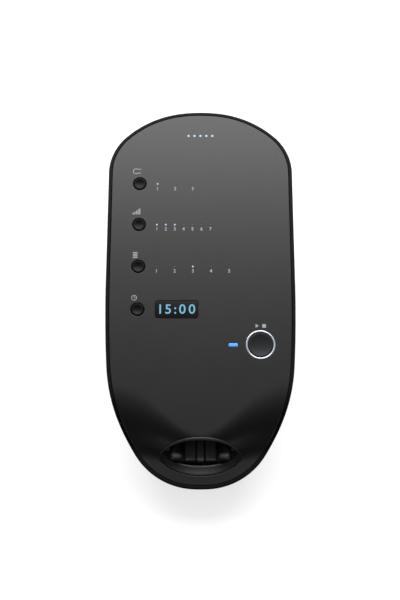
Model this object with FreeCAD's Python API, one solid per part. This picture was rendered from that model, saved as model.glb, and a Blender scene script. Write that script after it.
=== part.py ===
"""Compression therapy pump: a wedge-shaped control unit with a sloping button face and a hose socket.

Lengths are millimetres and angles are degrees. The model is drawn about the middle of the face: X runs to
the right, Y towards the head end and Z up. Pieces of the face are drawn flat in the face frame (u across,
v towards the head, n out of the face) and then tilted. The last step moves the origin to the middle of the
underside, at the level of the feet.
"""

import FreeCAD, Part
import math
import os

from FreeCAD import Placement, Rotation, Vector

# Face and stance
FACE_LENGTH = 216.0
FACE_WIDTH = 105.8
FACE_TILT = 18.0
FACE_HEIGHT = 78.0

# Outline of the face, as tangent arcs from each tip round to the straight flank.
# The shoulder and jaw radii are worked out, so that the arcs end at half the width.
CROWN_RADIUS = 88.4
CROWN_SWEEP = 7.0
SHOULDER_SWEEP = 36.0
CORNER_RADIUS = 30.3
NOSE_RADIUS = 87.7
NOSE_SWEEP = 3.0
JAW_SWEEP = 54.4
BELLY_RADIUS = 100.5
BELLY_SWEEP = 28.8
FLANK_RADIUS = 695.0

# Drop of the face to the chin, with the tongue that stays up in the middle; runs are from the chin's tip
DROP = 16.0
DROP_RUN_SIDE = 58.0
DROP_RUN_MIDDLE = 29.0
DROP_END_RUN_SIDE = 19.0
DROP_END_RUN_MIDDLE = 12.0
TONGUE_SPREAD = 27.0
DROP_GRID_STEP = 3.0

# Cover
COVER_THICKNESS = 2.5
COVER_GAP = 0.15
UNDER_START_RUN = 45.0
UNDER_END_RUN = 16.0

# Housing
RIM_WIDTH = 1.9
WALL = 3.1
FLOOR = 2.5
SKIRT_DEPTH = 17.5
DRAFT = 8.0
CHIN_LIP = 2.0
CHIN_LEAN = 40.0
FOOT_HEIGHT = 3.0
FOOT_RADIUS = 7.0
FOOT_X_REAR = 27.0
FOOT_X_FRONT = 20.0
FOOT_RUN_REAR = 30.0
FOOT_RUN_FRONT = 50.0

# Hose socket, drawn along the level direction in which the plug goes in; runs are from the chin's tip
PORT_HALF_WIDTH = 22.6
PORT_HALF_HEIGHT = 11.2
PORT_LOW = 2.4
PORT_REAR_RUN = 46.7
PORT_TIP_ROUND = 1.6
PORT_CLEARANCE = 0.1
SLEEVE_WALL = 1.2
BEAD_WIDTH = 1.3
BEAD_DEPTH = 5.0
BEAD_PROUD = 0.4
BEAD_GAP = 0.05
HOOD_LIP = 2.0
MOUTH_TOP_RUN = 25.8
MOUTH_LEAN = 21.0
BACK_PLATE = 3.0
RIB_HALF_WIDTH = 1.9
RIB_HEIGHT = 3.0
BLOCK_INNER_X = 2.5
BLOCK_OUTER_X = 7.8
BLOCK_HEIGHT = 2.5
BLOCK_FRONT_RUN = 19.7
POST_X = 14.0
POST_RADIUS = 2.1
POST_LOW = 1.4
POST_FRONT_RUN = 18.7
POST_HEAD_REACH = 4.2
POST_HEAD_LENGTH = 6.0
POST_HEAD_CUT = 1.0
CATCH_X = 18.6
CATCH_SIZE = 2.0
CATCH_FRONT_RUN = 27.5
AIRWAY_COUNT = 5
AIRWAY_PITCH = 5.6
AIRWAY_RADIUS = 1.1
AIRWAY_HIGH = 3.4
DUCT_RADIUS = 2.6

# Push buttons, as places on the face
BUTTON_U = -34.85
BUTTON_V = 62.98
BUTTON_PITCH = 24.75
BUTTON_HOLE_RADIUS = 3.85
BUTTON_GAP = 0.2
BUTTON_PROUD = 0.25
BUTTON_FLANGE = 1.3
BUTTON_FLANGE_THICKNESS = 1.0
BUTTON_SEAT_GAP = 0.05
BUTTON_TRAVEL = 0.5
STEM_WIDTH = 3.2
STEM_CLEARANCE = 0.05
START_U = 32.9
START_V = -31.28
START_RADIUS = 6.75
START_PROUD = 0.1
RING_INNER_RADIUS = 6.92
RING_OUTER_RADIUS = 8.28
RING_PROUD = 0.35
RING_GAP = 0.05

# Lights and display, as places on the face
LIGHT_HOLE_RADIUS = 0.55
BATTERY_HOLE_RADIUS = 0.75
LIGHT_GAP = 0.08
LIGHT_SUNK = 0.05
LIGHT_BAR_WIDTH = 4.0
LIGHT_BAR_THICKNESS = 2.0
LIGHT_BAR_END = 3.0
LIGHT_BAR_GAP = 0.1
BATTERY_COUNT = 5
BATTERY_PITCH = 3.46
BATTERY_RUN = 15.08  # from the head end of the face
ATTACHMENT_COUNT = 3
ATTACHMENT_U = -24.6
ATTACHMENT_PITCH = 10.07
PRESSURE_COUNT = 7
PRESSURE_U = -24.69
PRESSURE_PITCH = 5.055
ZONE_COUNT = 5
ZONE_U = -24.61
ZONE_PITCH = 10.18
STATUS_U = 17.95
STATUS_V = -31.17
STATUS_LENGTH = 5.1
STATUS_WIDTH = 1.9
STATUS_CORNER = 0.55
WINDOW_U = -13.19
WINDOW_V = -11.28
WINDOW_LENGTH = 24.0
WINDOW_WIDTH = 10.4
WINDOW_CORNER = 1.7
WINDOW_THICKNESS = 1.1
WINDOW_GAP = 0.1
WINDOW_LEDGE = 1.4
DISPLAY_MARGIN = 1.0

# Control board, under the cover
BOARD_THICKNESS = 1.6
BOARD_DEPTH = 10.0
BOARD_SIDE_INSET = 11.9
BOARD_FRONT_V = -44.0
BOARD_SHOULDER_RUN = 36.0
BOARD_REAR_RUN = 10.0
BOARD_REAR_HALF_WIDTH = 22.0
STANDOFF_WIDTH = 5.0
STANDOFF_U = 29.0
STANDOFF_V = 72.0
STANDOFF_U_LOW = 8.0
STANDOFF_V_LOW = -38.0
SWITCH_SIZE = 6.0
SWITCH_HEIGHT = 3.4
SWITCH_CAP_WIDTH = 3.4
SWITCH_CAP_HEIGHT = 0.7
RIBBON_WIDTH = 18.0
RIBBON_THICKNESS = 0.5
RIBBON_BEND = 4.0
RIBBON_START_V = 80.0
RIBBON_DROP = 10.0
RIBBON_LEAD = 8.0
RIBBON_END = 6.0

# Main board, upright against the rear wall
MAIN_BOARD_GAP = 1.0
MAIN_BOARD_HALF_WIDTH = 22.0
MAIN_BOARD_LIFT = 6.5
MAIN_BOARD_TOP_Z = -8.0
BOARD_RIB_X = 18.0
BOARD_RIB_WIDTH = 3.0
SENSOR_SIZE = 7.0
SENSOR_HEIGHT = 2.5
SENSOR_X = 12.0
SENSOR_LOW = 22.0
JACK_LIFT = 15.5
JACK_HALF_WIDTH = 5.5
JACK_HALF_HEIGHT = 6.0
JACK_BODY_DEPTH = 8.5
JACK_SUNK = 1.1
JACK_BARREL_RADIUS = 4.6
JACK_BORE_RADIUS = 2.75
JACK_BORE_DEPTH = 9.0
JACK_CLEARANCE = 0.15
CONTACT_RADIUS = 1.05
CONTACT_SUNK = 0.8

# Batteries
PACK_CHAMFER = 5.0
PACK_LENGTH = 65.0
PACK_SIZE = 37.3
PACK_REAR_GAP = 12.0
SIDE_GAP = 1.0
TRAY_WALL = 1.5
TRAY_GAP = 0.2
TRAY_HEIGHT = 24.0

# Air pump
PUMP_GAP = 3.0
MOTOR_LENGTH = 40.0
MOTOR_EDGE = 2.0
PUMP_FRONT_GAP = 21.0
PUMP_LENGTH = 27.0
PUMP_HEAD_ROOM = 8.0
PUMP_BASE_THICKNESS = 2.5
RUBBER_HEIGHT = 4.0
RUBBER_WIDTH = 8.0
RUBBER_INSET = 6.0

# Intake
SLOT_COUNT = 6
SLOT_PITCH = 4.0
SLOT_WIDTH = 2.0
SLOT_LENGTH = 14.0
SLOT_X = -14.0
SLOT_Y = 4.0
FILTER_MARGIN = 1.5
FILTER_HEIGHT = 8.0

# Valves
VALVE_PITCH = 12.6
MANIFOLD_REAR_Y = -8.0
MANIFOLD_DEPTH = 14.0
MANIFOLD_DROP = 13.6
MANIFOLD_HEIGHT = 18.0
MANIFOLD_END = 1.0
COIL_WIDTH = 11.0
COIL_DEPTH = 12.0
PUMP_TUBE_HIGH = 2.4

FACE = Placement(Vector(0, 0, 0), Rotation(Vector(1, 0, 0), FACE_TILT))
BASE_Z = FOOT_HEIGHT - FACE_HEIGHT
FLOOR_Z = BASE_Z + FLOOR
UNDERSIDE = -COVER_THICKNESS
BOARD_TOP = -BOARD_DEPTH
CHIN_V = -FACE_LENGTH / 2
DROP_START_SIDE = CHIN_V + DROP_RUN_SIDE
DROP_START_MIDDLE = CHIN_V + DROP_RUN_MIDDLE
DROP_END_SIDE = CHIN_V + DROP_END_RUN_SIDE
DROP_END_MIDDLE = CHIN_V + DROP_END_RUN_MIDDLE
CHIN_Y = FACE.multVec(Vector(0, CHIN_V, 0)).y
PORT_Z = FACE.multVec(Vector(0, CHIN_V, 0)).z - PORT_LOW
PORT_REAR_Y = CHIN_Y + PORT_REAR_RUN
AIRWAY_Z = PORT_Z + AIRWAY_HIGH
PUMP_TUBE_Z = AIRWAY_Z + PUMP_TUBE_HIGH
MANIFOLD_LOW_Z = AIRWAY_Z - MANIFOLD_DROP
JACK_Z = FLOOR_Z + JACK_LIFT
WALL_TRIES = 5
FAR = 400.0
ACROSS = Vector(1, 0, 0)
BACK = Vector(0, 1, 0)
FRONT = Vector(0, -1, 0)
UP = Vector(0, 0, 1)
DOWN = Vector(0, 0, -1)


# Helpers

def block(low, high):
    """Box between two corners."""
    return Part.makeBox(high[0] - low[0], high[1] - low[1], high[2] - low[2], Vector(*low))


def rod(radius, base, direction, length):
    """Cylinder from a base point."""
    return Part.makeCylinder(radius, length, base, direction)


def joined(shapes):
    """One solid from several that touch or overlap."""
    shapes = list(shapes)
    return shapes[0].fuse(shapes[1:]).removeSplitter() if len(shapes) > 1 else shapes[0]


def cut_all(shape, tools):
    """The shape with every tool taken away."""
    return shape.cut(Part.makeCompound(list(tools)))


def tilted(shape):
    """A shape drawn in the face frame, moved to its place on the sloping face."""
    return shape.transformed(FACE.toMatrix())


def face_point(u, v, n=0.0):
    """A point of the sloping face."""
    return FACE.multVec(Vector(u, v, n))


def rounded_plate(centre_u, centre_v, length, width, corner, low, high):
    """Upright prism on a rounded rectangle, between two heights."""
    plate = block((centre_u - length / 2, centre_v - width / 2, low),
                  (centre_u + length / 2, centre_v + width / 2, high))
    edges = [e for e in plate.Edges if abs(e.tangentAt(e.FirstParameter).z) > 0.999]
    return plate.makeFillet(corner, edges)


def eight_sided(centre_u, centre_v, half_u, half_v, cut, low, high):
    """Upright prism on a rectangle with its corners cut off, between two heights."""
    corners = [(half_u - cut, half_v), (half_u, half_v - cut),
               (half_u, cut - half_v), (half_u - cut, -half_v)]
    corners += [(-u, -v) for u, v in corners] + corners[:1]
    points = [Vector(centre_u + u, centre_v + v, low) for u, v in corners]
    return Part.Face(Part.makePolygon(points)).extrude(Vector(0, 0, high - low))


def small_round(u, v, radius, low, high):
    """Eight-sided prism in place of a very small cylinder."""
    return eight_sided(u, v, radius, radius, radius * (2 - math.sqrt(2)), low, high)


def tangent_arc(start, direction, end):
    """Arc that leaves the start along a direction and reaches the end."""
    chord = end - start
    half_turn = direction.getAngle(chord) / 2
    bisector = (direction + Vector(chord).normalize()).normalize()
    middle = start + bisector * (chord.Length / 2 / math.cos(half_turn))
    return Part.Arc(start, middle, end).toShape()


def rounded_path(points, radius):
    """Wire of straight runs joined by tangent arcs of one radius."""
    edges, start = [], points[0]
    for before, corner, after in zip(points, points[1:], points[2:]):
        back = Vector(before - corner).normalize()
        ahead = Vector(after - corner).normalize()
        reach = radius * math.tan((math.pi - back.getAngle(ahead)) / 2)
        arc_start, arc_end = corner + back * reach, corner + ahead * reach
        edges += [Part.makeLine(start, arc_start), tangent_arc(arc_start, back * -1, arc_end)]
        start = arc_end
    return Part.Wire(edges + [Part.makeLine(start, points[-1])])


def centred(count, pitch):
    """Places of a row that is centred on 0."""
    return [(i - (count - 1) / 2) * pitch for i in range(count)]


# Outline of the face

def end_arcs(arcs, half_width, inset):
    """Points of one end's arcs, as (across, depth) from the tip: one (start, middle, end) per arc.

    Each arc is (radius or None, sweep). The sweeps add up to a quarter turn, and the radius that is left
    open is worked out, so that the last arc ends at half the width.
    """
    angles = [0.0]
    for _, sweep in arcs:
        angles.append(angles[-1] + math.radians(sweep))
    spans = [math.sin(b) - math.sin(a) for a, b in zip(angles, angles[1:])]
    known = sum((radius or 0.0) * span for (radius, _), span in zip(arcs, spans))
    across, depth, points = 0.0, inset, []
    for (radius, _), a, b, span in zip(arcs, angles, angles[1:], spans):
        radius = (radius or (half_width - known) / span) - inset
        places = [(across + radius * (math.sin(t) - math.sin(a)),
                   depth + radius * (math.cos(a) - math.cos(t)))
                  for t in (a, (a + b) / 2, b)]
        across, depth = places[-1]
        points.append(places)
    return points


def outline(inset, height):
    """Closed outline of the face, drawn in by an inset."""
    half_width = FACE_WIDTH / 2
    tip = FACE_LENGTH / 2
    quarter = 90.0
    head = end_arcs([(CROWN_RADIUS, CROWN_SWEEP), (None, SHOULDER_SWEEP),
                     (CORNER_RADIUS, quarter - CROWN_SWEEP - SHOULDER_SWEEP)], half_width, inset)
    chin = end_arcs([(NOSE_RADIUS, NOSE_SWEEP), (None, JAW_SWEEP), (BELLY_RADIUS, BELLY_SWEEP),
                     (FLANK_RADIUS, quarter - NOSE_SWEEP - JAW_SWEEP - BELLY_SWEEP)], half_width, inset)

    right = [[Vector(a, tip - d, height) for a, d in arc] for arc in head]
    right_chin = [[Vector(a, d - tip, height) for a, d in reversed(arc)] for arc in reversed(chin)]
    right.append([right[-1][2], right_chin[0][0]])
    right += right_chin
    left = [[Vector(-p.x, p.y, p.z) for p in reversed(stretch)] for stretch in reversed(right)]
    return Part.Wire([Part.makePolygon(s).Edges[0] if len(s) == 2 else Part.Arc(*s).toShape()
                      for s in right + left])


def outline_prism(inset, low, high):
    """Upright solid on the outline, between two heights."""
    return Part.Face(outline(inset, low)).extrude(Vector(0, 0, high - low))


# Surface of the face

def blend(t):
    """Smooth step from 0 to 1."""
    t = min(max(t, 0.0), 1.0)
    return t * t * (3 - 2 * t)


def face_drop(u, v):
    """Height of the face surface, which is 0 on the flat part and -DROP on the chin."""
    tongue = math.exp(-(u / TONGUE_SPREAD) ** 2)
    start = DROP_START_SIDE + (DROP_START_MIDDLE - DROP_START_SIDE) * tongue
    end = DROP_END_SIDE + (DROP_END_MIDDLE - DROP_END_SIDE) * tongue
    t = max(start - v, 0.0) / (start - end)
    return -DROP * blend(min(t, 1.0) ** 2)


def steps(low, high, step):
    """Evenly spaced values from low to high, about a step apart."""
    count = max(math.ceil((high - low) / step), 3)
    return [low + (high - low) * i / count for i in range(count + 1)]


def below_face():
    """Everything under the face surface: the flat part, and the drop as one spline surface."""
    lower_end = CHIN_V - DROP_GRID_STEP
    half_width = FACE_WIDTH / 2 + DROP_GRID_STEP
    grid = [[Vector(u, v, face_drop(u, v)) for v in steps(lower_end, DROP_START_SIDE, DROP_GRID_STEP)]
            for u in steps(-half_width, half_width, DROP_GRID_STEP * 2)]
    surface = Part.BSplineSurface()
    surface.interpolate(grid)
    dropped = surface.toShape().extrude(Vector(0, 0, -FACE_LENGTH))
    flat = block((-half_width, DROP_START_SIDE, -FACE_LENGTH), (half_width, FACE_LENGTH, 0.0))
    return dropped.fuse(flat)


def below_profile(curve, low, top):
    """Everything under a profile of the face that is drawn straight across it."""
    corners = [low, Vector(0, -FACE_LENGTH, low.z), Vector(0, -FACE_LENGTH, -FACE_LENGTH),
               Vector(0, FACE_LENGTH, -FACE_LENGTH), Vector(0, FACE_LENGTH, top.z), top]
    profile = Part.Face(Part.Wire(Part.__sortEdges__(curve + Part.makePolygon(corners).Edges)))
    profile.translate(Vector(-FACE_WIDTH, 0, 0))
    return profile.extrude(Vector(2 * FACE_WIDTH, 0, 0))


def below_cover():
    """Everything under the cover: a level underside with an S of two arcs down to the chin."""
    top = Vector(0, CHIN_V + UNDER_START_RUN, UNDERSIDE)
    low = Vector(0, CHIN_V + UNDER_END_RUN, UNDERSIDE - DROP)
    middle = (top + low) * 0.5
    return below_profile([tangent_arc(top, FRONT, middle), tangent_arc(low, BACK, middle)], low, top)


def below_rim():
    """Everything under the rim, which falls as the face does at its sides, in short flats."""
    places = [Vector(0, v, face_drop(FACE_WIDTH, v))
              for v in steps(DROP_END_SIDE, DROP_START_SIDE, DROP_GRID_STEP)]
    return below_profile(Part.makePolygon(places).Edges, places[0], places[-1])


# Housing

def leaning_wall(edge, lean, depth):
    """Wall under one stretch of the outline, which leans in by a distance over a depth."""
    start = edge.valueAt(edge.FirstParameter)
    down = Vector(0, 0, -depth)
    if isinstance(edge.Curve, Part.Line):
        end = edge.valueAt(edge.LastParameter)
        inward = Vector(-math.copysign(lean, start.x), 0, 0)
        corners = [start, end, end + inward + down, start + inward + down]
        return Part.Face(Part.makePolygon(corners + [start]))
    centre = edge.Curve.Center
    radial = start - centre
    foot = centre + radial * ((radial.Length - lean) / radial.Length) + down
    sweep = math.degrees(edge.LastParameter - edge.FirstParameter)
    return Part.makeLine(start, foot).revolve(centre, edge.Curve.Axis, sweep)


def housing_form(inset):
    """Solid with the housing's straight skirt and the drafted walls under it, in the face frame."""
    depth = FACE_HEIGHT + face_point(0, FACE_LENGTH / 2, 0).z
    lean = depth * math.tan(math.radians(DRAFT))
    top = outline(inset, -SKIRT_DEPTH)
    walls = [leaning_wall(edge, lean, depth) for edge in top.Edges]
    ends = [Part.Face(top), Part.Face(outline(inset + lean, -SKIRT_DEPTH - depth))]
    shell = Part.Shell(walls + ends)
    shell.sewShape()
    return Part.Solid(shell).fuse(outline_prism(inset, -SKIRT_DEPTH, COVER_THICKNESS))


def above(z):
    """Everything above a level."""
    return block((-FAR, -FAR, z), (FAR, FAR, z + FAR))


def chin_wedge(inset):
    """Space in front of the chin's undercut, moved in by an inset."""
    edge = face_point(0, CHIN_V, -DROP - CHIN_LIP)
    wedge = block((-FAR, -FAR, -FAR), (FAR, 0, FAR))
    wedge.rotate(Vector(0, 0, 0), ACROSS, CHIN_LEAN)
    inward = Rotation(ACROSS, CHIN_LEAN).multVec(BACK)
    wedge.translate(edge + inward * inset)
    return wedge


def wall_lean(n):
    """How far the drafted wall has come in at a depth under the face."""
    return max(-n - SKIRT_DEPTH, 0.0) * math.tan(math.radians(DRAFT))


def side_wall(y, z, inset):
    """Distance from the middle to the side wall at a place, with an inset from its outer face."""
    place = FACE.inverse().multVec(Vector(0, y, z))
    line = Part.makeLine(Vector(0, place.y, 0), Vector(FACE_WIDTH, place.y, 0))
    return line.common(Part.Face(outline(inset + wall_lean(place.z), 0.0))).Length


def rear_wall(x, z, inset):
    """Level distance from the middle to the rear wall at a place, with an inset from its outer face."""
    line = Part.makeLine(Vector(x, 0, 0), Vector(x, FACE_LENGTH, 0))
    y = FACE_LENGTH / 2
    for _ in range(WALL_TRIES):
        place = FACE.inverse().multVec(Vector(x, y, z))
        reach = line.common(Part.Face(outline(inset + wall_lean(place.z), 0.0))).Length
        y += (reach - place.y) / math.cos(math.radians(FACE_TILT))
    return y


def board_y():
    """Front of the main board, which stands just clear of the rear wall."""
    return rear_wall(MAIN_BOARD_HALF_WIDTH, MAIN_BOARD_TOP_Z, WALL) - MAIN_BOARD_GAP - BOARD_THICKNESS


def slots():
    """Row of intake slots through the floor."""
    return [block((SLOT_X + x - SLOT_WIDTH / 2, SLOT_Y - SLOT_LENGTH / 2, BASE_Z),
                  (SLOT_X + x + SLOT_WIDTH / 2, SLOT_Y + SLOT_LENGTH / 2, FLOOR_Z))
            for x in centred(SLOT_COUNT, SLOT_PITCH)]


def lower_housing():
    """Open shell with its rim, the ledge for the cover, ribs for the main board and openings."""
    outside = tilted(housing_form(0.0).common(below_rim())).common(above(BASE_Z)).cut(chin_wedge(0.0))
    recess = tilted(outline_prism(RIM_WIDTH, -FACE_LENGTH, COVER_THICKNESS).cut(below_cover()))
    cavity = tilted(housing_form(WALL)).common(above(FLOOR_Z)).cut(chin_wedge(WALL))
    board_back = board_y() + BOARD_THICKNESS
    ribs = [block((x - BOARD_RIB_WIDTH / 2, board_back, FLOOR_Z + MAIN_BOARD_LIFT),
                  (x + BOARD_RIB_WIDTH / 2, FACE_LENGTH, MAIN_BOARD_TOP_Z)).common(cavity)
            for x in (-BOARD_RIB_X, BOARD_RIB_X)]
    shell = outside.cut(recess).cut(cavity).fuse(ribs)
    cuts = slots()
    cuts.append(rod(JACK_BARREL_RADIUS + JACK_CLEARANCE, Vector(0, board_back, JACK_Z), BACK, FAR))
    cuts.append(lens_prism(-SLEEVE_WALL - PORT_CLEARANCE, CHIN_V, PORT_REAR_Y))
    return cut_all(shell, cuts)


def feet():
    """Four rubber feet on the underside."""
    places = [(FOOT_X_REAR, -CHIN_V - FOOT_RUN_REAR), (FOOT_X_FRONT, CHIN_V + FOOT_RUN_FRONT)]
    return Part.makeCompound([rod(FOOT_RADIUS, Vector(side * x, y, BASE_Z), DOWN, FOOT_HEIGHT)
                              for x, y in places for side in (-1, 1)])


# Hose socket

def lens_prism(inset, front_y, rear_y):
    """Level prism on the socket's lens, drawn in by an inset: two wide arcs and two arcs round the tips."""
    wide = (PORT_HALF_WIDTH ** 2 + PORT_HALF_HEIGHT ** 2) / (2 * PORT_HALF_HEIGHT)
    sunk = wide - PORT_HALF_HEIGHT
    tip_x = math.sqrt((wide - PORT_TIP_ROUND) ** 2 - sunk ** 2)
    share = (wide - inset) / (wide - PORT_TIP_ROUND)
    end = Vector(tip_x * share, front_y, sunk * (share - 1))
    tip = Vector(tip_x + PORT_TIP_ROUND - inset, front_y, 0)
    crest = Vector(0, front_y, PORT_HALF_HEIGHT - inset)
    corners = [(end, tip, Vector(end.x, front_y, -end.z)), (end, crest, Vector(-end.x, front_y, end.z))]
    arcs = [Part.Arc(*corner).toShape() for corner in corners]
    arcs += [Part.Arc(*[Vector(-p.x, p.y, -p.z) for p in corner]).toShape() for corner in corners]
    prism = Part.Face(Part.Wire(Part.__sortEdges__(arcs))).extrude(Vector(0, rear_y - front_y, 0))
    prism.translate(Vector(0, 0, PORT_Z))
    return prism


def behind_mouth(offset):
    """Everything behind the leaning plane of the mouth, moved forward by an offset."""
    space = block((-FAR, 0, -FAR), (FAR, FAR, FAR))
    space.rotate(Vector(0, 0, 0), ACROSS, -MOUTH_LEAN)
    forward = Rotation(ACROSS, -MOUTH_LEAN).multVec(FRONT)
    space.translate(Vector(0, CHIN_Y + MOUTH_TOP_RUN, PORT_Z + PORT_HALF_HEIGHT) + forward * offset)
    return space


def port_bezel():
    """Bead inside the sleeve, round the mouth, with a thicker lip under the hood."""
    opening = lens_prism(BEAD_GAP + BEAD_WIDTH, CHIN_V, PORT_REAR_Y)
    ring = lens_prism(BEAD_GAP, CHIN_V, PORT_REAR_Y)
    ring = ring.cut(opening.common(opening.translated(DOWN * HOOD_LIP)))
    return ring.common(behind_mouth(BEAD_PROUD)).cut(behind_mouth(-BEAD_DEPTH))


def connector_block():
    """Insert of the socket: back plate with air holes, floor, middle rib, two blocks and side catches."""
    plate_front = PORT_REAR_Y - BACK_PLATE
    front = CHIN_Y + BLOCK_FRONT_RUN
    catch_front = CHIN_Y + CATCH_FRONT_RUN
    inside = lens_prism(2 * BEAD_GAP + BEAD_WIDTH, front, PORT_REAR_Y)
    floor_z = PORT_Z - PORT_HALF_HEIGHT + 2 * BEAD_GAP + BEAD_WIDTH
    slab = lens_prism(BEAD_GAP, front, PORT_REAR_Y).common(behind_mouth(-BEAD_DEPTH - BEAD_GAP))
    fittings = [block((-RIB_HALF_WIDTH, front, floor_z),
                      (RIB_HALF_WIDTH, plate_front, floor_z + RIB_HEIGHT))]
    for side in (-1, 1):
        low, high = sorted((side * BLOCK_INNER_X, side * BLOCK_OUTER_X))
        fittings.append(block((low, front, floor_z), (high, plate_front, floor_z + BLOCK_HEIGHT)))
        fittings.append(block((side * CATCH_X - CATCH_SIZE / 2, catch_front, PORT_Z - CATCH_SIZE / 2),
                              (side * CATCH_X + CATCH_SIZE / 2, plate_front, PORT_Z + CATCH_SIZE / 2)))
    parts = [lens_prism(BEAD_GAP, plate_front, PORT_REAR_Y), slab.cut(above(floor_z))]
    parts += [fitting.common(inside) for fitting in fittings]
    holes = [small_round(x, -AIRWAY_Z, AIRWAY_RADIUS, plate_front, PORT_REAR_Y)
             for x in centred(AIRWAY_COUNT, AIRWAY_PITCH)]
    for hole in holes:
        hole.rotate(Vector(0, 0, 0), ACROSS, -90)
    return cut_all(joined(parts), holes)


def guide_post(side):
    """Post with a head that points inward, for the plug to slide over."""
    base = Vector(side * POST_X, PORT_REAR_Y - BACK_PLATE, PORT_Z - POST_LOW)
    front = CHIN_Y + POST_FRONT_RUN
    post = rod(POST_RADIUS, base, FRONT, base.y - front)
    low, high = sorted((side * (POST_X + POST_RADIUS), side * (POST_X - POST_HEAD_REACH)))
    head = eight_sided((low + high) / 2, front + POST_HEAD_LENGTH / 2, (high - low) / 2,
                       POST_HEAD_LENGTH / 2, POST_HEAD_CUT, base.z, base.z + POST_RADIUS)
    return post.fuse(head)


# Cover and its pieces

def small_buttons():
    """Places of the four small buttons, by name."""
    names = ("attachment", "pressure", "zone", "time")
    return {name: (BUTTON_U, BUTTON_V - BUTTON_PITCH * i) for i, name in enumerate(names)}


def light_rows():
    """Rows of round lights, by name: (first u, v, count, pitch, hole radius)."""
    battery_u = centred(BATTERY_COUNT, BATTERY_PITCH)[0]
    return {"battery": (battery_u, -CHIN_V - BATTERY_RUN, BATTERY_COUNT, BATTERY_PITCH, BATTERY_HOLE_RADIUS),
            "attachment": (ATTACHMENT_U, BUTTON_V, ATTACHMENT_COUNT, ATTACHMENT_PITCH, LIGHT_HOLE_RADIUS),
            "pressure": (PRESSURE_U, BUTTON_V - BUTTON_PITCH, PRESSURE_COUNT, PRESSURE_PITCH,
                         LIGHT_HOLE_RADIUS),
            "zone": (ZONE_U, BUTTON_V - 2 * BUTTON_PITCH, ZONE_COUNT, ZONE_PITCH, LIGHT_HOLE_RADIUS)}


def row_places(row):
    """Places of the lights in a row."""
    first, v, count, pitch, _ = row
    return [(first + i * pitch, v) for i in range(count)]


def standoffs():
    """Places of the cover's standoffs, which carry the control board."""
    return [(-STANDOFF_U, STANDOFF_V), (STANDOFF_U, STANDOFF_V),
            (-STANDOFF_U, STANDOFF_V_LOW), (STANDOFF_U_LOW, STANDOFF_V_LOW)]


def square_post(u, v, width, low, high):
    """Square upright post."""
    return block((u - width / 2, v - width / 2, low), (u + width / 2, v + width / 2, high))


def light_hole(row, place, margin, low, high):
    """Prism on the hole of one light."""
    return small_round(*place, row[4] + margin, low, high)


def status_slot(margin, low, high):
    """Prism on the status light's slot."""
    return eight_sided(STATUS_U, STATUS_V, STATUS_LENGTH / 2 + margin, STATUS_WIDTH / 2 + margin,
                       STATUS_CORNER, low, high)


def window_plate(margin, low, high):
    """Prism on the display window's rounded rectangle."""
    return rounded_plate(WINDOW_U, WINDOW_V, WINDOW_LENGTH + 2 * margin, WINDOW_WIDTH + 2 * margin,
                         WINDOW_CORNER, low, high)


def face_cover():
    """Face cover with its tongue and chin, the socket's sleeve, the openings and the board's standoffs."""
    blank = outline_prism(RIM_WIDTH + COVER_GAP, -FACE_LENGTH, COVER_THICKNESS).common(below_face())
    sleeve = lens_prism(-SLEEVE_WALL, CHIN_V, PORT_REAR_Y)
    posts = [tilted(square_post(u, v, STANDOFF_WIDTH, BOARD_TOP, 0.0)) for u, v in standoffs()]
    plate = tilted(blank).cut(cut_all(tilted(below_cover()), [sleeve] + posts))
    deep = 2 * UNDERSIDE
    holes = [rod(BUTTON_HOLE_RADIUS, Vector(u, v, deep), UP, -2 * deep) for u, v in small_buttons().values()]
    holes.append(rod(RING_OUTER_RADIUS + RING_GAP, Vector(START_U, START_V, deep), UP, -2 * deep))
    for row in light_rows().values():
        holes += [light_hole(row, place, 0.0, deep, -deep) for place in row_places(row)]
    holes.append(status_slot(0.0, deep, -deep))
    holes.append(window_plate(0.0, -WINDOW_THICKNESS, -deep))
    holes.append(window_plate(-WINDOW_LEDGE, deep, -deep))
    tunnel = lens_prism(0.0, CHIN_V, PORT_REAR_Y)
    return cut_all(plate, [tilted(hole) for hole in holes] + [tunnel])


def display_module():
    """Display behind the window, standing on the control board."""
    half_u = WINDOW_LENGTH / 2 + DISPLAY_MARGIN
    half_v = WINDOW_WIDTH / 2 + DISPLAY_MARGIN
    return block((WINDOW_U - half_u, WINDOW_V - half_v, BOARD_TOP),
                 (WINDOW_U + half_u, WINDOW_V + half_v, UNDERSIDE - LIGHT_BAR_GAP))


def light_pipe(row):
    """Clear bar under the cover with one pin up through each hole."""
    places = row_places(row)
    top = UNDERSIDE - LIGHT_BAR_GAP
    bar = block((places[0][0] - LIGHT_BAR_END, row[1] - LIGHT_BAR_WIDTH / 2, top - LIGHT_BAR_THICKNESS),
                (places[-1][0] + LIGHT_BAR_END, row[1] + LIGHT_BAR_WIDTH / 2, top))
    return bar.fuse([light_hole(row, place, -LIGHT_GAP, top, -LIGHT_SUNK) for place in places])


def status_light_pipe():
    """Clear block with a tongue up through the status slot."""
    top = UNDERSIDE - LIGHT_BAR_GAP
    half_u = STATUS_LENGTH / 2 + LIGHT_BAR_THICKNESS / 2
    bar = block((STATUS_U - half_u, STATUS_V - LIGHT_BAR_WIDTH / 2, top - LIGHT_BAR_THICKNESS),
                (STATUS_U + half_u, STATUS_V + LIGHT_BAR_WIDTH / 2, top))
    return bar.fuse(status_slot(-LIGHT_GAP, top, -LIGHT_SUNK))


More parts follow.
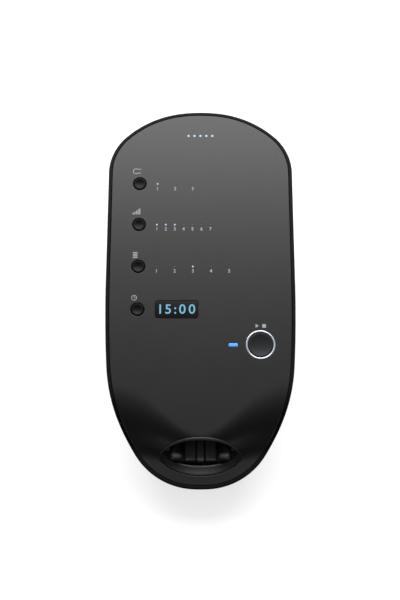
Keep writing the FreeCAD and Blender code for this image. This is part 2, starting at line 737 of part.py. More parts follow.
def push_button(u, v, radius, proud, flange_radius):
    """Cap with a square retaining flange under the cover and a stem over its switch."""
    flange_top = UNDERSIDE - BUTTON_SEAT_GAP
    stem_end = BOARD_TOP + SWITCH_HEIGHT + SWITCH_CAP_HEIGHT + BUTTON_TRAVEL + STEM_CLEARANCE
    cap = rod(radius, Vector(u, v, flange_top), UP, proud - flange_top)
    flange = square_post(u, v, 2 * flange_radius, flange_top - BUTTON_FLANGE_THICKNESS, flange_top)
    stem = square_post(u, v, STEM_WIDTH, stem_end, flange_top)
    return cap.fuse([flange, stem]).removeSplitter()


def start_ring():
    """Bright ring round the start button."""
    base = Vector(START_U, START_V, UNDERSIDE)
    height = RING_PROUD - UNDERSIDE
    return rod(RING_OUTER_RADIUS, base, UP, height).cut(rod(RING_INNER_RADIUS, base, UP, height))


# Control board

def control_board():
    """Board under the cover, with its rear corners cut off to follow the housing."""
    side = FACE_WIDTH / 2 - BOARD_SIDE_INSET
    half = [(side, BOARD_FRONT_V), (side, -CHIN_V - BOARD_SHOULDER_RUN),
            (BOARD_REAR_HALF_WIDTH, -CHIN_V - BOARD_REAR_RUN)]
    corners = half + [(-u, v) for u, v in reversed(half)] + half[:1]
    board = Part.Face(Part.makePolygon([Vector(u, v, BOARD_TOP) for u, v in corners]))
    return tilted(board.extrude(Vector(0, 0, -BOARD_THICKNESS)))


def tact_switches():
    """Switches on the board, one under each button."""
    cap_low = BOARD_TOP + SWITCH_HEIGHT
    return Part.makeCompound([square_post(u, v, SWITCH_SIZE, BOARD_TOP, cap_low).fuse(
        square_post(u, v, SWITCH_CAP_WIDTH, cap_low, cap_low + SWITCH_CAP_HEIGHT))
        for u, v in list(small_buttons().values()) + [(START_U, START_V)]])


def ribbon_cable():
    """Flat cable from the control board down to the main board."""
    start = face_point(0, RIBBON_START_V, BOARD_TOP - BOARD_THICKNESS)
    down = FACE.Rotation.multVec(DOWN)
    end = Vector(0, board_y(), MAIN_BOARD_TOP_Z - RIBBON_END)
    path = rounded_path([start, start + down * RIBBON_DROP, end + FRONT * RIBBON_LEAD, end], RIBBON_BEND)
    across = Vector(RIBBON_WIDTH / 2, 0, 0)
    thick = down.cross(ACROSS) * (RIBBON_THICKNESS / 2)
    corners = [start - across - thick, start + across - thick, start + across + thick, start - across + thick]
    return path.makePipeShell([Part.makePolygon(corners + [corners[0]])], True, False)


# Rear: main board and power inlet

def main_board():
    """Upright board against the housing's ribs."""
    front = board_y()
    return block((-MAIN_BOARD_HALF_WIDTH, front, FLOOR_Z + MAIN_BOARD_LIFT),
                 (MAIN_BOARD_HALF_WIDTH, front + BOARD_THICKNESS, MAIN_BOARD_TOP_Z))


def pressure_sensors():
    """Two pressure sensors on the front of the main board."""
    half = SENSOR_SIZE / 2
    middle = MAIN_BOARD_TOP_Z - SENSOR_LOW
    rear = board_y()
    return Part.makeCompound([block((x - half, rear - SENSOR_HEIGHT, middle - half),
                                    (x + half, rear, middle + half)) for x in (-SENSOR_X, SENSOR_X)])


def jack_end():
    """Open end of the power inlet, sunk a little below the rear wall."""
    return Vector(0, rear_wall(0, JACK_Z, 0.0) - JACK_SUNK, JACK_Z)


def dc_jack():
    """Power inlet on the main board, with its barrel through the rear wall."""
    front = board_y() + BOARD_THICKNESS
    end = jack_end()
    body = block((-JACK_HALF_WIDTH, front, JACK_Z - JACK_HALF_HEIGHT),
                 (JACK_HALF_WIDTH, front + JACK_BODY_DEPTH, JACK_Z + JACK_HALF_HEIGHT))
    barrel = rod(JACK_BARREL_RADIUS, end, FRONT, end.y - front)
    return body.fuse(barrel).cut(rod(JACK_BORE_RADIUS, end, FRONT, JACK_BORE_DEPTH))


def dc_contact():
    """Centre pin of the power inlet."""
    return rod(CONTACT_RADIUS, jack_end() + FRONT * JACK_BORE_DEPTH, BACK, JACK_BORE_DEPTH - CONTACT_SUNK)


# Batteries

def battery_tray():
    """Open tray on the floor, beside the left wall, that holds the pack."""
    size = PACK_SIZE + 2 * TRAY_GAP
    rear = board_y() - PACK_REAR_GAP
    left = SIDE_GAP + TRAY_WALL - side_wall(rear, FLOOR_Z, WALL)
    inner = block((left, rear - PACK_LENGTH - 2 * TRAY_GAP, FLOOR_Z + TRAY_WALL),
                  (left + size, rear, FLOOR_Z + TRAY_HEIGHT))
    outer = block((left - TRAY_WALL, inner.BoundBox.YMin - TRAY_WALL, FLOOR_Z),
                  (left + size + TRAY_WALL, rear + TRAY_WALL, FLOOR_Z + TRAY_HEIGHT))
    return outer.cut(inner)


def battery_pack():
    """Wrapped pack of four round cells that lie fore and aft in the tray."""
    room = battery_tray().BoundBox
    low = Vector(room.XMin, room.YMin, room.ZMin + TRAY_WALL) + Vector(1, 1, 0) * (TRAY_WALL + TRAY_GAP)
    pack = Part.makeBox(PACK_SIZE, PACK_LENGTH, PACK_SIZE, low)
    return pack.makeChamfer(PACK_CHAMFER, [edge for edge in pack.Edges if edge.BoundBox.YLength > PACK_SIZE])


# Air pump

def pump_room():
    """Plan of the pump, between the tray and the right wall: left, front, right and rear."""
    front = MANIFOLD_REAR_Y + PUMP_FRONT_GAP
    rear = front + PUMP_LENGTH + MOTOR_LENGTH
    return battery_tray().BoundBox.XMax + PUMP_GAP, front, side_wall(rear, FLOOR_Z, WALL) - SIDE_GAP, rear


def pump_base():
    """Plate under the pump."""
    left, front, right, rear = pump_room()
    low = FLOOR_Z + RUBBER_HEIGHT
    return block((left, front, low), (right, rear, low + PUMP_BASE_THICKNESS))


def pump_mounts():
    """Rubber mounts between the floor and the pump's plate."""
    left, front, right, rear = pump_room()
    return Part.makeCompound([square_post(x, y, RUBBER_WIDTH, FLOOR_Z, FLOOR_Z + RUBBER_HEIGHT)
                              for x in (left + RUBBER_INSET, right - RUBBER_INSET)
                              for y in (front + RUBBER_INSET, rear - RUBBER_INSET)])


def pump_body():
    """Housing of the pump's diaphragm and valves, on the plate."""
    left, front, right, _ = pump_room()
    low = FLOOR_Z + RUBBER_HEIGHT + PUMP_BASE_THICKNESS
    return block((left, front, low), (right, front + PUMP_LENGTH, PUMP_TUBE_Z + PUMP_HEAD_ROOM))


def pump_motor():
    """Motor on the back of the pump's body."""
    left, front, right, _ = pump_room()
    radius = (right - left) / 2 - MOTOR_EDGE
    middle_z = FLOOR_Z + RUBBER_HEIGHT + PUMP_BASE_THICKNESS + MOTOR_EDGE + radius
    return rod(radius, Vector((left + right) / 2, front + PUMP_LENGTH, middle_z), BACK, MOTOR_LENGTH)


def intake_filter():
    """Foam filter over the intake slots."""
    half_x = (SLOT_COUNT - 1) * SLOT_PITCH / 2 + SLOT_WIDTH / 2 + FILTER_MARGIN
    half_y = SLOT_LENGTH / 2 + FILTER_MARGIN
    return block((SLOT_X - half_x, SLOT_Y - half_y, FLOOR_Z), (SLOT_X + half_x, SLOT_Y + half_y,
                                                               FLOOR_Z + FILTER_HEIGHT))


# Valves and tubes

def valve_manifold():
    """Block on top of the valve coils, between the pump's tube and the outlet duct."""
    half = (AIRWAY_COUNT - 1) / 2 * VALVE_PITCH + COIL_WIDTH / 2 + MANIFOLD_END
    return block((-half, MANIFOLD_REAR_Y - MANIFOLD_DEPTH, MANIFOLD_LOW_Z),
                 (half, MANIFOLD_REAR_Y, MANIFOLD_LOW_Z + MANIFOLD_HEIGHT))


def valve_coils():
    """Five solenoid coils that stand on the floor."""
    middle_y = MANIFOLD_REAR_Y - MANIFOLD_DEPTH / 2
    return Part.makeCompound([block((x - COIL_WIDTH / 2, middle_y - COIL_DEPTH / 2, FLOOR_Z),
                                    (x + COIL_WIDTH / 2, middle_y + COIL_DEPTH / 2, MANIFOLD_LOW_Z))
                              for x in centred(AIRWAY_COUNT, VALVE_PITCH)])


def outlet_duct():
    """Rubber duct with five airways side by side, from the manifold to the back of the socket."""
    half = (AIRWAY_COUNT - 1) / 2 * AIRWAY_PITCH + DUCT_RADIUS
    return block((-half, PORT_REAR_Y, AIRWAY_Z - DUCT_RADIUS),
                 (half, MANIFOLD_REAR_Y - MANIFOLD_DEPTH, AIRWAY_Z + DUCT_RADIUS))


def pump_tube():
    """Short tube from the pump's head to the manifold."""
    left, front, right, _ = pump_room()
    return rod(DUCT_RADIUS, Vector((left + right) / 2, front, PUMP_TUBE_Z), FRONT, PUMP_FRONT_GAP)


# Export

def build():
    """Every node of the pump, by name, drawn about the middle of the face."""
    nodes = {"lower_housing": lower_housing(), "face_cover": face_cover(), "feet": feet(),
             "port_bezel": port_bezel(), "connector_block": connector_block(),
             "guide_post_left": guide_post(-1), "guide_post_right": guide_post(1)}
    for name, (u, v) in small_buttons().items():
        nodes["button_" + name] = tilted(push_button(u, v, BUTTON_HOLE_RADIUS - BUTTON_GAP, BUTTON_PROUD,
                                                     BUTTON_HOLE_RADIUS + BUTTON_FLANGE))
    nodes["start_button"] = tilted(push_button(START_U, START_V, START_RADIUS, START_PROUD,
                                               RING_OUTER_RADIUS + BUTTON_FLANGE))
    nodes["start_ring"] = tilted(start_ring())
    nodes["display_window"] = tilted(window_plate(-WINDOW_GAP, -WINDOW_THICKNESS, 0.0))
    nodes["display_module"] = tilted(display_module())
    for name, row in light_rows().items():
        nodes["light_pipe_" + name] = tilted(light_pipe(row))
    nodes["light_pipe_status"] = tilted(status_light_pipe())
    nodes.update({"control_board": control_board(), "tact_switches": tilted(tact_switches()),
                  "ribbon_cable": ribbon_cable(), "main_board": main_board(),
                  "pressure_sensors": pressure_sensors(), "dc_jack": dc_jack(), "dc_contact": dc_contact(),
                  "battery_pack": battery_pack(), "battery_tray": battery_tray(),
                  "pump_base": pump_base(), "pump_mounts": pump_mounts(), "pump_body": pump_body(),
                  "pump_motor": pump_motor(),
                  "intake_filter": intake_filter(), "valve_manifold": valve_manifold(),
                  "valve_coils": valve_coils(), "outlet_duct": outlet_duct(), "pump_tube": pump_tube()})
    return nodes


def origin_shift(housing):
    """Move that puts the origin under the middle of the housing, at the level of the feet."""
    box = housing.optimalBoundingBox(False)
    return Vector(-box.Center.x, -box.Center.y, FACE_HEIGHT)


def main():
    """Builds the nodes and writes one STEP file for each."""
    os.makedirs("parts", exist_ok=True)
    nodes = build()
    shift = origin_shift(nodes["lower_housing"])
    for name, shape in nodes.items():
        shape.translate(shift)
        shape.exportStep(os.path.join("parts", name + ".step"))
        print(name, round(shape.Volume / 1000, 2), "cm3", len(shape.Solids), "solid(s)", shape.isValid())


main()
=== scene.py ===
"""Looks of the compression therapy pump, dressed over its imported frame.

The face frame is u across, v towards the head and n out of the face, in millimetres about the middle of
the face. The level frame is x, y, z about the same point. Both are turned into the row frame, in metres.
"""

import math
from collections import namedtuple

import bmesh
import bpy
from mathutils import Matrix, Vector
from mathutils.geometry import delaunay_2d_cdt

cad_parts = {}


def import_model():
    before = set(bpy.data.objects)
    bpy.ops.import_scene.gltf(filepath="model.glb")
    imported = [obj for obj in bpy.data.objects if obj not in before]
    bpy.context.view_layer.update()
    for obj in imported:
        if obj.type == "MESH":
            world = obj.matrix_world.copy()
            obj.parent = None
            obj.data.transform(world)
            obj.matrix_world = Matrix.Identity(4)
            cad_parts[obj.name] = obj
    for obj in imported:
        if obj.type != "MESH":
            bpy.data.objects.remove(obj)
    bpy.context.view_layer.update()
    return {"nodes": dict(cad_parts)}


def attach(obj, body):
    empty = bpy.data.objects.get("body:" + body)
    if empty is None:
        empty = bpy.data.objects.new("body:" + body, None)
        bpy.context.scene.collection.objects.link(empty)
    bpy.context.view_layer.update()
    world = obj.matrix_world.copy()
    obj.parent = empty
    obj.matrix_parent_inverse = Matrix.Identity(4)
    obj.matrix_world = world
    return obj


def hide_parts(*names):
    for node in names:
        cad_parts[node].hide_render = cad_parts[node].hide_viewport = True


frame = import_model()
HOUSING = "housing"

# The frame's own sizes, in millimetres; an arc is (radius, degrees), and other angles are in radians
TILT = math.radians(18.0)
SHIFT_Y = -13.2633
SHIFT_Z = 78.0
TIP = 108.0
HALF_WIDTH = 52.9
HEAD_ARCS = [(88.4, 7.0), (None, 36.0), (30.3, 47.0)]
CHIN_ARCS = [(87.7, 3.0), (None, 54.4), (100.5, 28.8), (695.0, 3.8)]
DROP = 16.0
DROP_START_SIDE = -50.0
DROP_START_MIDDLE = -79.0
DROP_END_SIDE = -91.6
DROP_END_MIDDLE = -96.0
TONGUE_SPREAD = 27.0
RIM_WIDTH = 1.9
COVER_INSET = 2.05
COVER_THICKNESS = 2.5
WALL = 3.1
SKIRT = 17.5
DRAFT = math.tan(math.radians(8.0))
BASE_Z = -75.0
FLOOR_Z = -72.5
CHIN_EDGE = (-108.0, -18.0)
CHIN_LEAN = math.radians(40.0)
PORT_Z = -35.7733
PORT_REAR_Y = -56.0141
BUTTONS = {"attachment": 62.98, "pressure": 38.23, "zone": 13.48, "time": -11.27}
BUTTON_U = -34.85
START_U, START_V = 32.9, -31.28
STATUS_U, STATUS_V = 17.95, -31.17
WINDOW_U, WINDOW_V = -13.19, -11.28
BATTERY_V, BATTERY_PITCH = 92.92, 3.46

# Rows of lights beside the buttons: first light's u, pitch, count, and the v of the numbers under them
LIGHT_ROWS = {"attachment": (-24.6, 10.07, 3, 59.9),
              "pressure": (-24.69, 5.055, 7, 35.56),
              "zone": (-24.61, 10.18, 5, 10.78)}


def face(u, v, n=0.0):
    """Place in the row frame of a point drawn on the face."""
    return Vector((u, v * math.cos(TILT) - n * math.sin(TILT) + SHIFT_Y,
                   v * math.sin(TILT) + n * math.cos(TILT) + SHIFT_Z)) / 1000


def level(x, y, z):
    """Place in the row frame of a point drawn level."""
    return Vector((x, y + SHIFT_Y, z + SHIFT_Z)) / 1000


def to_face(p):
    """Face coordinates of a point in the row frame."""
    y, z = p.y * 1000 - SHIFT_Y, p.z * 1000 - SHIFT_Z
    return Vector((p.x * 1000, y * math.cos(TILT) + z * math.sin(TILT),
                   z * math.cos(TILT) - y * math.sin(TILT)))


UP_N = (face(0, 0, 1) - face(0, 0, 0)).normalized()
INWARD = level(0, 1, 0) - level(0, 0, 0)


# Surface of the face

def fall(s):
    """Share of the drop reached: the slope grows, stays even and rounds off at the foot."""
    grow, even, power = 0.58, 0.72, 1.7
    s = min(max(s, 0.0), 1.0)
    done = grow / (power + 1) * (min(s, grow) / grow) ** (power + 1)
    done += max(min(s, even) - grow, 0.0)
    if s > even:
        left = (1 - s) / (1 - even)
        done += (1 - even) * (0.5 - left ** 3 + left ** 4 / 2)
    return done / (grow / (power + 1) + even - grow + (1 - even) / 2)


def surface(u, v):
    """Height of the face: flat at the head, with a tongue that stays up over the socket."""
    tongue = math.exp(-(u / TONGUE_SPREAD) ** 2)
    start = DROP_START_SIDE + (DROP_START_MIDDLE - DROP_START_SIDE) * tongue
    end = DROP_END_SIDE + (DROP_END_MIDDLE - DROP_END_SIDE) * tongue
    return -DROP * fall((start - v) / (start - end))


def surface_normal(u, v):
    """Normal of the face in the row frame."""
    step = 0.02
    slope_u = (surface(u + step, v) - surface(u - step, v)) / (2 * step)
    slope_v = (surface(u, v + step) - surface(u, v - step)) / (2 * step)
    return (face(-slope_u, -slope_v, 1.0) - face(0, 0, 0)).normalized()


# Points and outlines

def between(a, b, share):
    """Values a given share of the way from one list to another."""
    return tuple(p + (q - p) * share for p, q in zip(a, b))


def quarter_turn(count):
    """Angles from zero to a right angle."""
    return [math.pi / 2 * i / count for i in range(count + 1)]


def circle(radius, count):
    """Points of a circle about the origin."""
    turns = [2 * math.pi * i / count for i in range(count)]
    return [(radius * math.cos(t), radius * math.sin(t)) for t in turns]


def rounded_rect(u, v, half_u, half_v, radius, count):
    """Corners of a rounded rectangle, anticlockwise."""
    out = []
    for k, (su, sv) in enumerate(((1, 1), (-1, 1), (-1, -1), (1, -1))):
        for i in range(count + 1):
            t = math.pi / 2 * (k + i / count)
            out.append((u + su * (half_u - radius) + radius * math.cos(t),
                        v + sv * (half_v - radius) + radius * math.sin(t)))
    return out


def quarter(arcs, step):
    """Points and outward normals, from a tip round to the flank, as (across, depth, normal angle)."""
    finest_turn = math.radians(2.5)
    angles = [0.0]
    for _, sweep in arcs:
        angles.append(angles[-1] + math.radians(sweep))
    spans = [math.sin(b) - math.sin(a) for a, b in zip(angles, angles[1:])]
    known = sum((radius or 0.0) * span for (radius, _), span in zip(arcs, spans))
    across, depth, out = 0.0, 0.0, [(0.0, 0.0, 0.0)]
    for (radius, _), a, b, span in zip(arcs, angles, angles[1:], spans):
        radius = radius or (HALF_WIDTH - known) / span
        count = max(math.ceil(radius * (b - a) / step), math.ceil((b - a) / finest_turn), 2)
        for i in range(1, count + 1):
            t = a + (b - a) * i / count
            out.append((across + radius * (math.sin(t) - math.sin(a)),
                        depth + radius * (math.cos(a) - math.cos(t)), t))
        across, depth = out[-1][:2]
    return out


def outline(step):
    """Closed loop of (u, v, normal u, normal v), from the head's tip round to the right."""
    flank_step = 6.0
    head = [(a, TIP - d, math.sin(t), math.cos(t)) for a, d, t in quarter(HEAD_ARCS, step)]
    chin = [(a, d - TIP, math.sin(t), -math.cos(t)) for a, d, t in quarter(CHIN_ARCS, step)][::-1]
    top, low = head[-1], chin[0]
    count = max(round((top[1] - low[1]) / flank_step), 1)
    flank = [(HALF_WIDTH, top[1] + (low[1] - top[1]) * i / count, 1.0, 0.0) for i in range(1, count)]
    right = head + flank + chin
    left = [(-u, v, -nu, nv) for u, v, nu, nv in reversed(right[1:-1])]
    return right + left


def inset_point(station, inset):
    """Point of a station of the outline, drawn in by an inset."""
    u, v, nu, nv = station
    return u - nu * inset, v - nv * inset


# Meshes

def mesh_of(name, bm):
    """Mesh made from a bmesh, which is let go."""
    mesh = bpy.data.meshes.new(name)
    bm.to_mesh(mesh)
    bm.free()
    return mesh


def placed(name, data):
    """New object in the scene."""
    made = bpy.data.objects.new(name, data)
    bpy.context.scene.collection.objects.link(made)
    return made


def link(name, mesh, body, materials):
    """Object on a mesh, with its materials, riding on a body."""
    piece = placed(name, mesh)
    for material in materials:
        piece.data.materials.append(material)
    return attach(piece, body)


def mark_crisp(bm, degrees):
    """Smooth shading, with crisp edges where two faces meet at more than an angle."""
    for f in bm.faces:
        f.smooth = True
    for e in bm.edges:
        e.smooth = not (len(e.link_faces) == 2 and e.calc_face_angle(0.0) > math.radians(degrees))


def finished(name, bm, materials, body=HOUSING, smooth=30.0, weld=1e-9):
    """Object from a bmesh, welded, wound outwards and shaded smooth up to an angle."""
    bmesh.ops.remove_doubles(bm, verts=bm.verts[:], dist=weld)
    bmesh.ops.recalc_face_normals(bm, faces=bm.faces[:])
    mark_crisp(bm, smooth)
    return link(name, mesh_of(name, bm), body, materials)


def baked(piece):
    """Mesh of an object as it shows, with its modifiers, or of a text."""
    bpy.context.view_layer.update()
    graph = bpy.context.evaluated_depsgraph_get()
    return bpy.data.meshes.new_from_object(piece.evaluated_get(graph))


def apply_modifiers(piece):
    """Bakes the modifiers into the mesh."""
    mesh = baked(piece)
    piece.modifiers.clear()
    piece.data = mesh


def sharpen(piece, degrees):
    """Marks the edges that stay crisp and keeps big flat faces flat."""
    bm = bmesh.new()
    bm.from_mesh(piece.data)
    mark_crisp(bm, degrees)
    bm.to_mesh(piece.data)
    bm.free()
    weighted = piece.modifiers.new("flat", "WEIGHTED_NORMAL")
    weighted.keep_sharp = True
    weighted.weight = 90
    apply_modifiers(piece)


def round_edges(piece, width, segments, method):
    """Rounds the crisp edges of a piece, or only those with a weight."""
    bevel = piece.modifiers.new("edges", "BEVEL")
    bevel.width = width / 1000
    bevel.segments = segments
    bevel.limit_method = method
    bevel.angle_limit = math.radians(35)
    apply_modifiers(piece)


def take_out(piece, bm):
    """Takes the volume of a bmesh out of a piece."""
    bmesh.ops.recalc_face_normals(bm, faces=bm.faces[:])
    tool = placed("tool", mesh_of("tool", bm))
    cut = piece.modifiers.new("cut", "BOOLEAN")
    cut.object = tool
    cut.solver = "EXACT"
    apply_modifiers(piece)
    bpy.data.objects.remove(tool)


def strip(bm, a, b, index=0):
    """Quads between two closed rows of vertices."""
    for i in range(len(a)):
        j = (i + 1) % len(a)
        bm.faces.new([a[i], a[j], b[j], b[i]]).material_index = index


def rows(bm, rings, index=0):
    """Quads through closed rows of points; gives the rows of vertices."""
    made = [[bm.verts.new(p) for p in ring] for ring in rings]
    for a, b in zip(made, made[1:]):
        strip(bm, a, b, index)
    return made


def tube(bm, rings, index=0):
    """Quads through closed rows of points, with a face over each end."""
    made = rows(bm, rings, index)
    for end in (made[0], made[-1]):
        bm.faces.new(end).material_index = index


def hoop(bm, rings):
    """Quads through closed rows of points, and from the last row back to the first."""
    made = rows(bm, rings)
    strip(bm, made[-1], made[0])


def turned(u, v, profile, count):
    """Rows of points about an axis out of the face, from a profile of (radius, n)."""
    return [[face(u + x, v + y, n) for x, y in circle(radius, count)] for radius, n in profile]


def slab(bm, corners, low, high):
    """Prism between two heights on a polygon in the face frame."""
    tube(bm, [[face(u, v, n) for u, v in corners] for n in (low, high)])


# Materials

NOISE_RANGE = (0.3, 0.7)


def nodes_of(name):
    """New material, with its node tree and its shader."""
    material = bpy.data.materials.new(name)
    material.use_nodes = True
    tree = material.node_tree
    return material, tree, tree.nodes["Principled BSDF"]


def settle(node, values):
    """Sets a node's own inputs, by name."""
    for name, value in values.items():
        node.inputs[name].default_value = value


def noise(tree, scale, detail):
    """Noise that is fixed to the object."""
    coord = tree.nodes.new("ShaderNodeTexCoord")
    node = tree.nodes.new("ShaderNodeTexNoise")
    settle(node, {"Scale": scale, "Detail": detail})
    tree.links.new(coord.outputs["Object"], node.inputs["Vector"])
    return node.outputs["Fac"]


def mapped(tree, value, source, target=(0.0, 1.0), kind="LINEAR"):
    """Number carried over from one range to another."""
    node = tree.nodes.new("ShaderNodeMapRange")
    node.interpolation_type = kind
    settle(node, dict(zip(("From Min", "From Max", "To Min", "To Max"), (*source, *target))))
    tree.links.new(value, node.inputs["Value"])
    return node.outputs["Result"]


def ramp(tree, value, places, colours):
    """Colour that goes from one to another as a number goes from place to place."""
    node = tree.nodes.new("ShaderNodeValToRGB")
    for element, place, colour in zip(node.color_ramp.elements, places, colours):
        element.position = place
        element.color = (*colour, 1)
    tree.links.new(value, node.inputs["Fac"])
    return node.outputs["Color"]


def plastic(name, colour, rough, grain=2600.0, relief=0.05, spread=0.12, metal=0.0, specular=0.5):
    """Moulded plastic or plain metal: fine spark-eroded grain, faint cloudiness in colour and gloss."""
    material, tree, shader = nodes_of(name)
    cloud = noise(tree, 60.0, 4.0)
    fine = noise(tree, grain, 2.0)
    dark = tuple(c * (1 - spread) for c in colour)
    light = tuple(min(c * (1 + spread), 1.0) for c in colour)
    tree.links.new(ramp(tree, cloud, NOISE_RANGE, (dark, light)), shader.inputs["Base Color"])
    gloss = mapped(tree, fine, NOISE_RANGE, (rough * 0.93, rough * 1.07))
    tree.links.new(gloss, shader.inputs["Roughness"])
    bump = tree.nodes.new("ShaderNodeBump")
    settle(bump, {"Strength": relief, "Distance": 0.0001})
    tree.links.new(fine, bump.inputs["Height"])
    tree.links.new(bump.outputs["Normal"], shader.inputs["Normal"])
    settle(shader, {"Metallic": metal, "Specular IOR Level": specular})
    return material


def glow(name, colour, strength):
    """Lit lens or digit: even light with a faint grain in it."""
    material, tree, shader = nodes_of(name)
    dim = tuple(c * 0.92 for c in colour)
    light = ramp(tree, noise(tree, 1800.0, 2.0), NOISE_RANGE, (dim, colour))
    tree.links.new(light, shader.inputs["Emission Color"])
    settle(shader, {"Emission Strength": strength, "Base Color": (0.02, 0.02, 0.02, 1), "Roughness": 0.3})
    return material


FACE = plastic("face_satin", (0.0066, 0.0067, 0.007), 0.35, relief=0.03)
SHELL = plastic("housing_satin", (0.0042, 0.0043, 0.0045), 0.45, relief=0.06, specular=0.1)
SOCKET = plastic("socket_plastic", (0.03, 0.0302, 0.0308), 0.42, grain=2200.0, specular=0.3)
CAP = plastic("button_satin", (0.0042, 0.005, 0.0062), 0.36, grain=3000.0, relief=0.03, specular=0.11)
DISH = plastic("start_button_satin", (0.0078, 0.0092, 0.0105), 0.36, grain=3000.0, relief=0.03, specular=0.3)
TRIM = plastic("bright_ring", (0.43, 0.455, 0.5), 0.36, grain=900.0, relief=0.02, spread=0.03, metal=1.0)
INSERT = plastic("connector_plastic", (0.09, 0.0912, 0.093), 0.45, grain=2200.0, specular=0.4)
POST = plastic("post_plastic", (0.019, 0.0193, 0.02), 0.5, grain=2200.0, specular=0.4)
RUBBER = plastic("rubber", (0.012, 0.012, 0.0125), 0.72, grain=1500.0, relief=0.2)
INK = plastic("legend_ink", (0.37, 0.375, 0.385), 0.5, grain=4000.0, spread=0.06)
DEAD = plastic("unlit_lens", (0.075, 0.078, 0.083), 0.3, grain=3000.0)
LIT = glow("lit_lens", (0.55, 0.74, 0.95), 0.95)
BLUE = glow("status_light", (0.05, 0.36, 1.0), 1.12)
DIGIT = glow("display_digits", (0.17, 0.46, 0.66), 1.0)
SCREEN = plastic("display_face", (0.0095, 0.0096, 0.0098), 0.45, grain=1800.0, specular=0.08)
BOARD = plastic("solder_mask", (0.012, 0.09, 0.035), 0.35, grain=700.0, spread=0.25)
PARTS = plastic("component_plastic", (0.03, 0.03, 0.031), 0.5)
CABLE = plastic("flat_cable", (0.42, 0.42, 0.43), 0.45)
BRASS = plastic("plated_contact", (0.62, 0.5, 0.24), 0.22, metal=1.0)
WRAP = plastic("heat_shrink", (0.02, 0.08, 0.3), 0.24, grain=400.0)
STEEL = plastic("plated_steel", (0.5, 0.51, 0.52), 0.3, grain=500.0, metal=1.0)
FOAM = plastic("filter_foam", (0.03, 0.03, 0.03), 0.95, grain=800.0, relief=0.8)


# Mouth of the socket, as drawn on the face

MOUTH_ROUND = 0.32
MOUTH_CENTRE = Vector((0.0, -90.0))
MOUTH_HALF = 22.2
MOUTH_MIDDLE = -90.4
HOOD_RISE = 9.3
HOOD_POINTS = 160
SCOOP_HALF = 22.6
SCOOP_TOP = -85.6
SCOOP_DEPTH = 15.3
SCOOP_SPREAD = 25.0
SCOOP_POINTS = 120
LIP_FALL = 6.5
LIP_SINK = 3.45
TIP_U = 21.65
TIP_V = -88.8
TIP_N = -13.35

# Groove at the scoop's edge and the turn back over its lip, as millimetres (inward, down)
GROOVE = ((0.0, 1.1), (0.28, 1.1), (0.28, 0.3), (0.34, 0.2), (0.46, 0.16))
LIP_BACK = ((0.12, 0.06), (0.28, 0.3), (0.32, 1.6))


def mouth_edge():
    """Closed line round the mouth and its scoop: right to left above, then back below."""
    line = []
    for i in range(HOOD_POINTS + 1):
        t = math.pi * i / HOOD_POINTS
        line.append((MOUTH_HALF * math.cos(t), MOUTH_MIDDLE + HOOD_RISE * math.sin(t)))
    for i in range(SCOOP_POINTS + 1):
        u = -SCOOP_HALF * math.cos(math.pi * i / SCOOP_POINTS)
        line.append((u, SCOOP_TOP - SCOOP_DEPTH * math.sqrt(1 - (u / SCOOP_SPREAD) ** 2)))
    return line


def scoop_lip(u):
    """Inner lip of the scoop, from the mouth's tip down and round under the opening: u, v, n and share."""
    share = (1 - min(abs(u) / SCOOP_HALF, 1.0) ** 2) ** 0.6
    return TIP_U * u / SCOOP_HALF, TIP_V - LIP_FALL * share, TIP_N - LIP_SINK * share, share


def mouth_by_angle():
    """Mouth's edge by angle about its middle: angle, edge, foot of the edge's round, inner lip, share."""
    found = []
    for i, (u, v) in enumerate(mouth_edge()):
        edge = face(u, v, surface(u, v))
        share = 0.0
        if i > HOOD_POINTS:
            *lip, share = scoop_lip(u)
            lip = face(*lip)
            foot = edge + (lip - edge) * 0.1
        elif v < TIP_V:
            lip = face(math.copysign(TIP_U, u), TIP_V, TIP_N)
            foot = edge + (lip - edge) * 0.15
        else:
            foot = edge + level(0, 0.35, 0) - level(0, 0, 0)
            lip = foot
        p = to_face(edge)
        found.append((math.atan2(p.y - MOUTH_CENTRE.y, p.x), *edge, *foot, *lip, share))
    return sorted(found)


def at_angle(table, angle):
    """Values between the two entries of a sorted table on each side of an angle."""
    angle = (angle + math.pi) % (2 * math.pi) - math.pi
    below = [entry for entry in table if entry[0] <= angle]
    first = below[-1] if below else (table[-1][0] - 2 * math.pi, *table[-1][1:])
    above = table[len(below)] if len(below) < len(table) else (table[0][0] + 2 * math.pi, *table[0][1:])
    share = (angle - first[0]) / max(above[0] - first[0], 1e-9)
    return between(first[1:], above[1:], share)


def ray_hit(origin, angle, stations, inset):
    """Station of the drawn-in outline that a ray meets."""
    d = Vector((math.cos(angle), math.sin(angle)))
    for s, t in zip(stations, stations[1:] + stations[:1]):
        a, b = Vector(inset_point(s, inset)), Vector(inset_point(t, inset))
        side_a = d.x * (a.y - origin.y) - d.y * (a.x - origin.x)
        side_b = d.x * (b.y - origin.y) - d.y * (b.x - origin.x)
        if side_a * side_b > 0 or side_a == side_b:
            continue
        share = side_a / (side_a - side_b)
        if (a + (b - a) * share - origin).dot(d) > 0:
            u, v, nu, nv = between(s, t, share)
            size = math.hypot(nu, nv)
            return (u, v, nu / size, nv / size)


# Cover

COVER_ROUND = 0.5
START_INSET = COVER_INSET + COVER_ROUND
BUTTON_HOLE, START_HOLE = 3.85, 8.33
LIGHT_HOLE, BATTERY_HOLE = 0.55, 0.75
STATUS_HOLE = (2.55, 0.95, 0.55)
WINDOW_HOLE = (12.0, 5.2, 1.7)
UPPER_STEPS = 120
LOWER_STEPS = 300

# Way out from the mouth: its edge, the foot of the edge's round, the inner lip, the scoop's share from 0 to
# 1, and the points of the face where the way begins and ends
Ray = namedtuple("Ray", "edge foot lip share begin end")


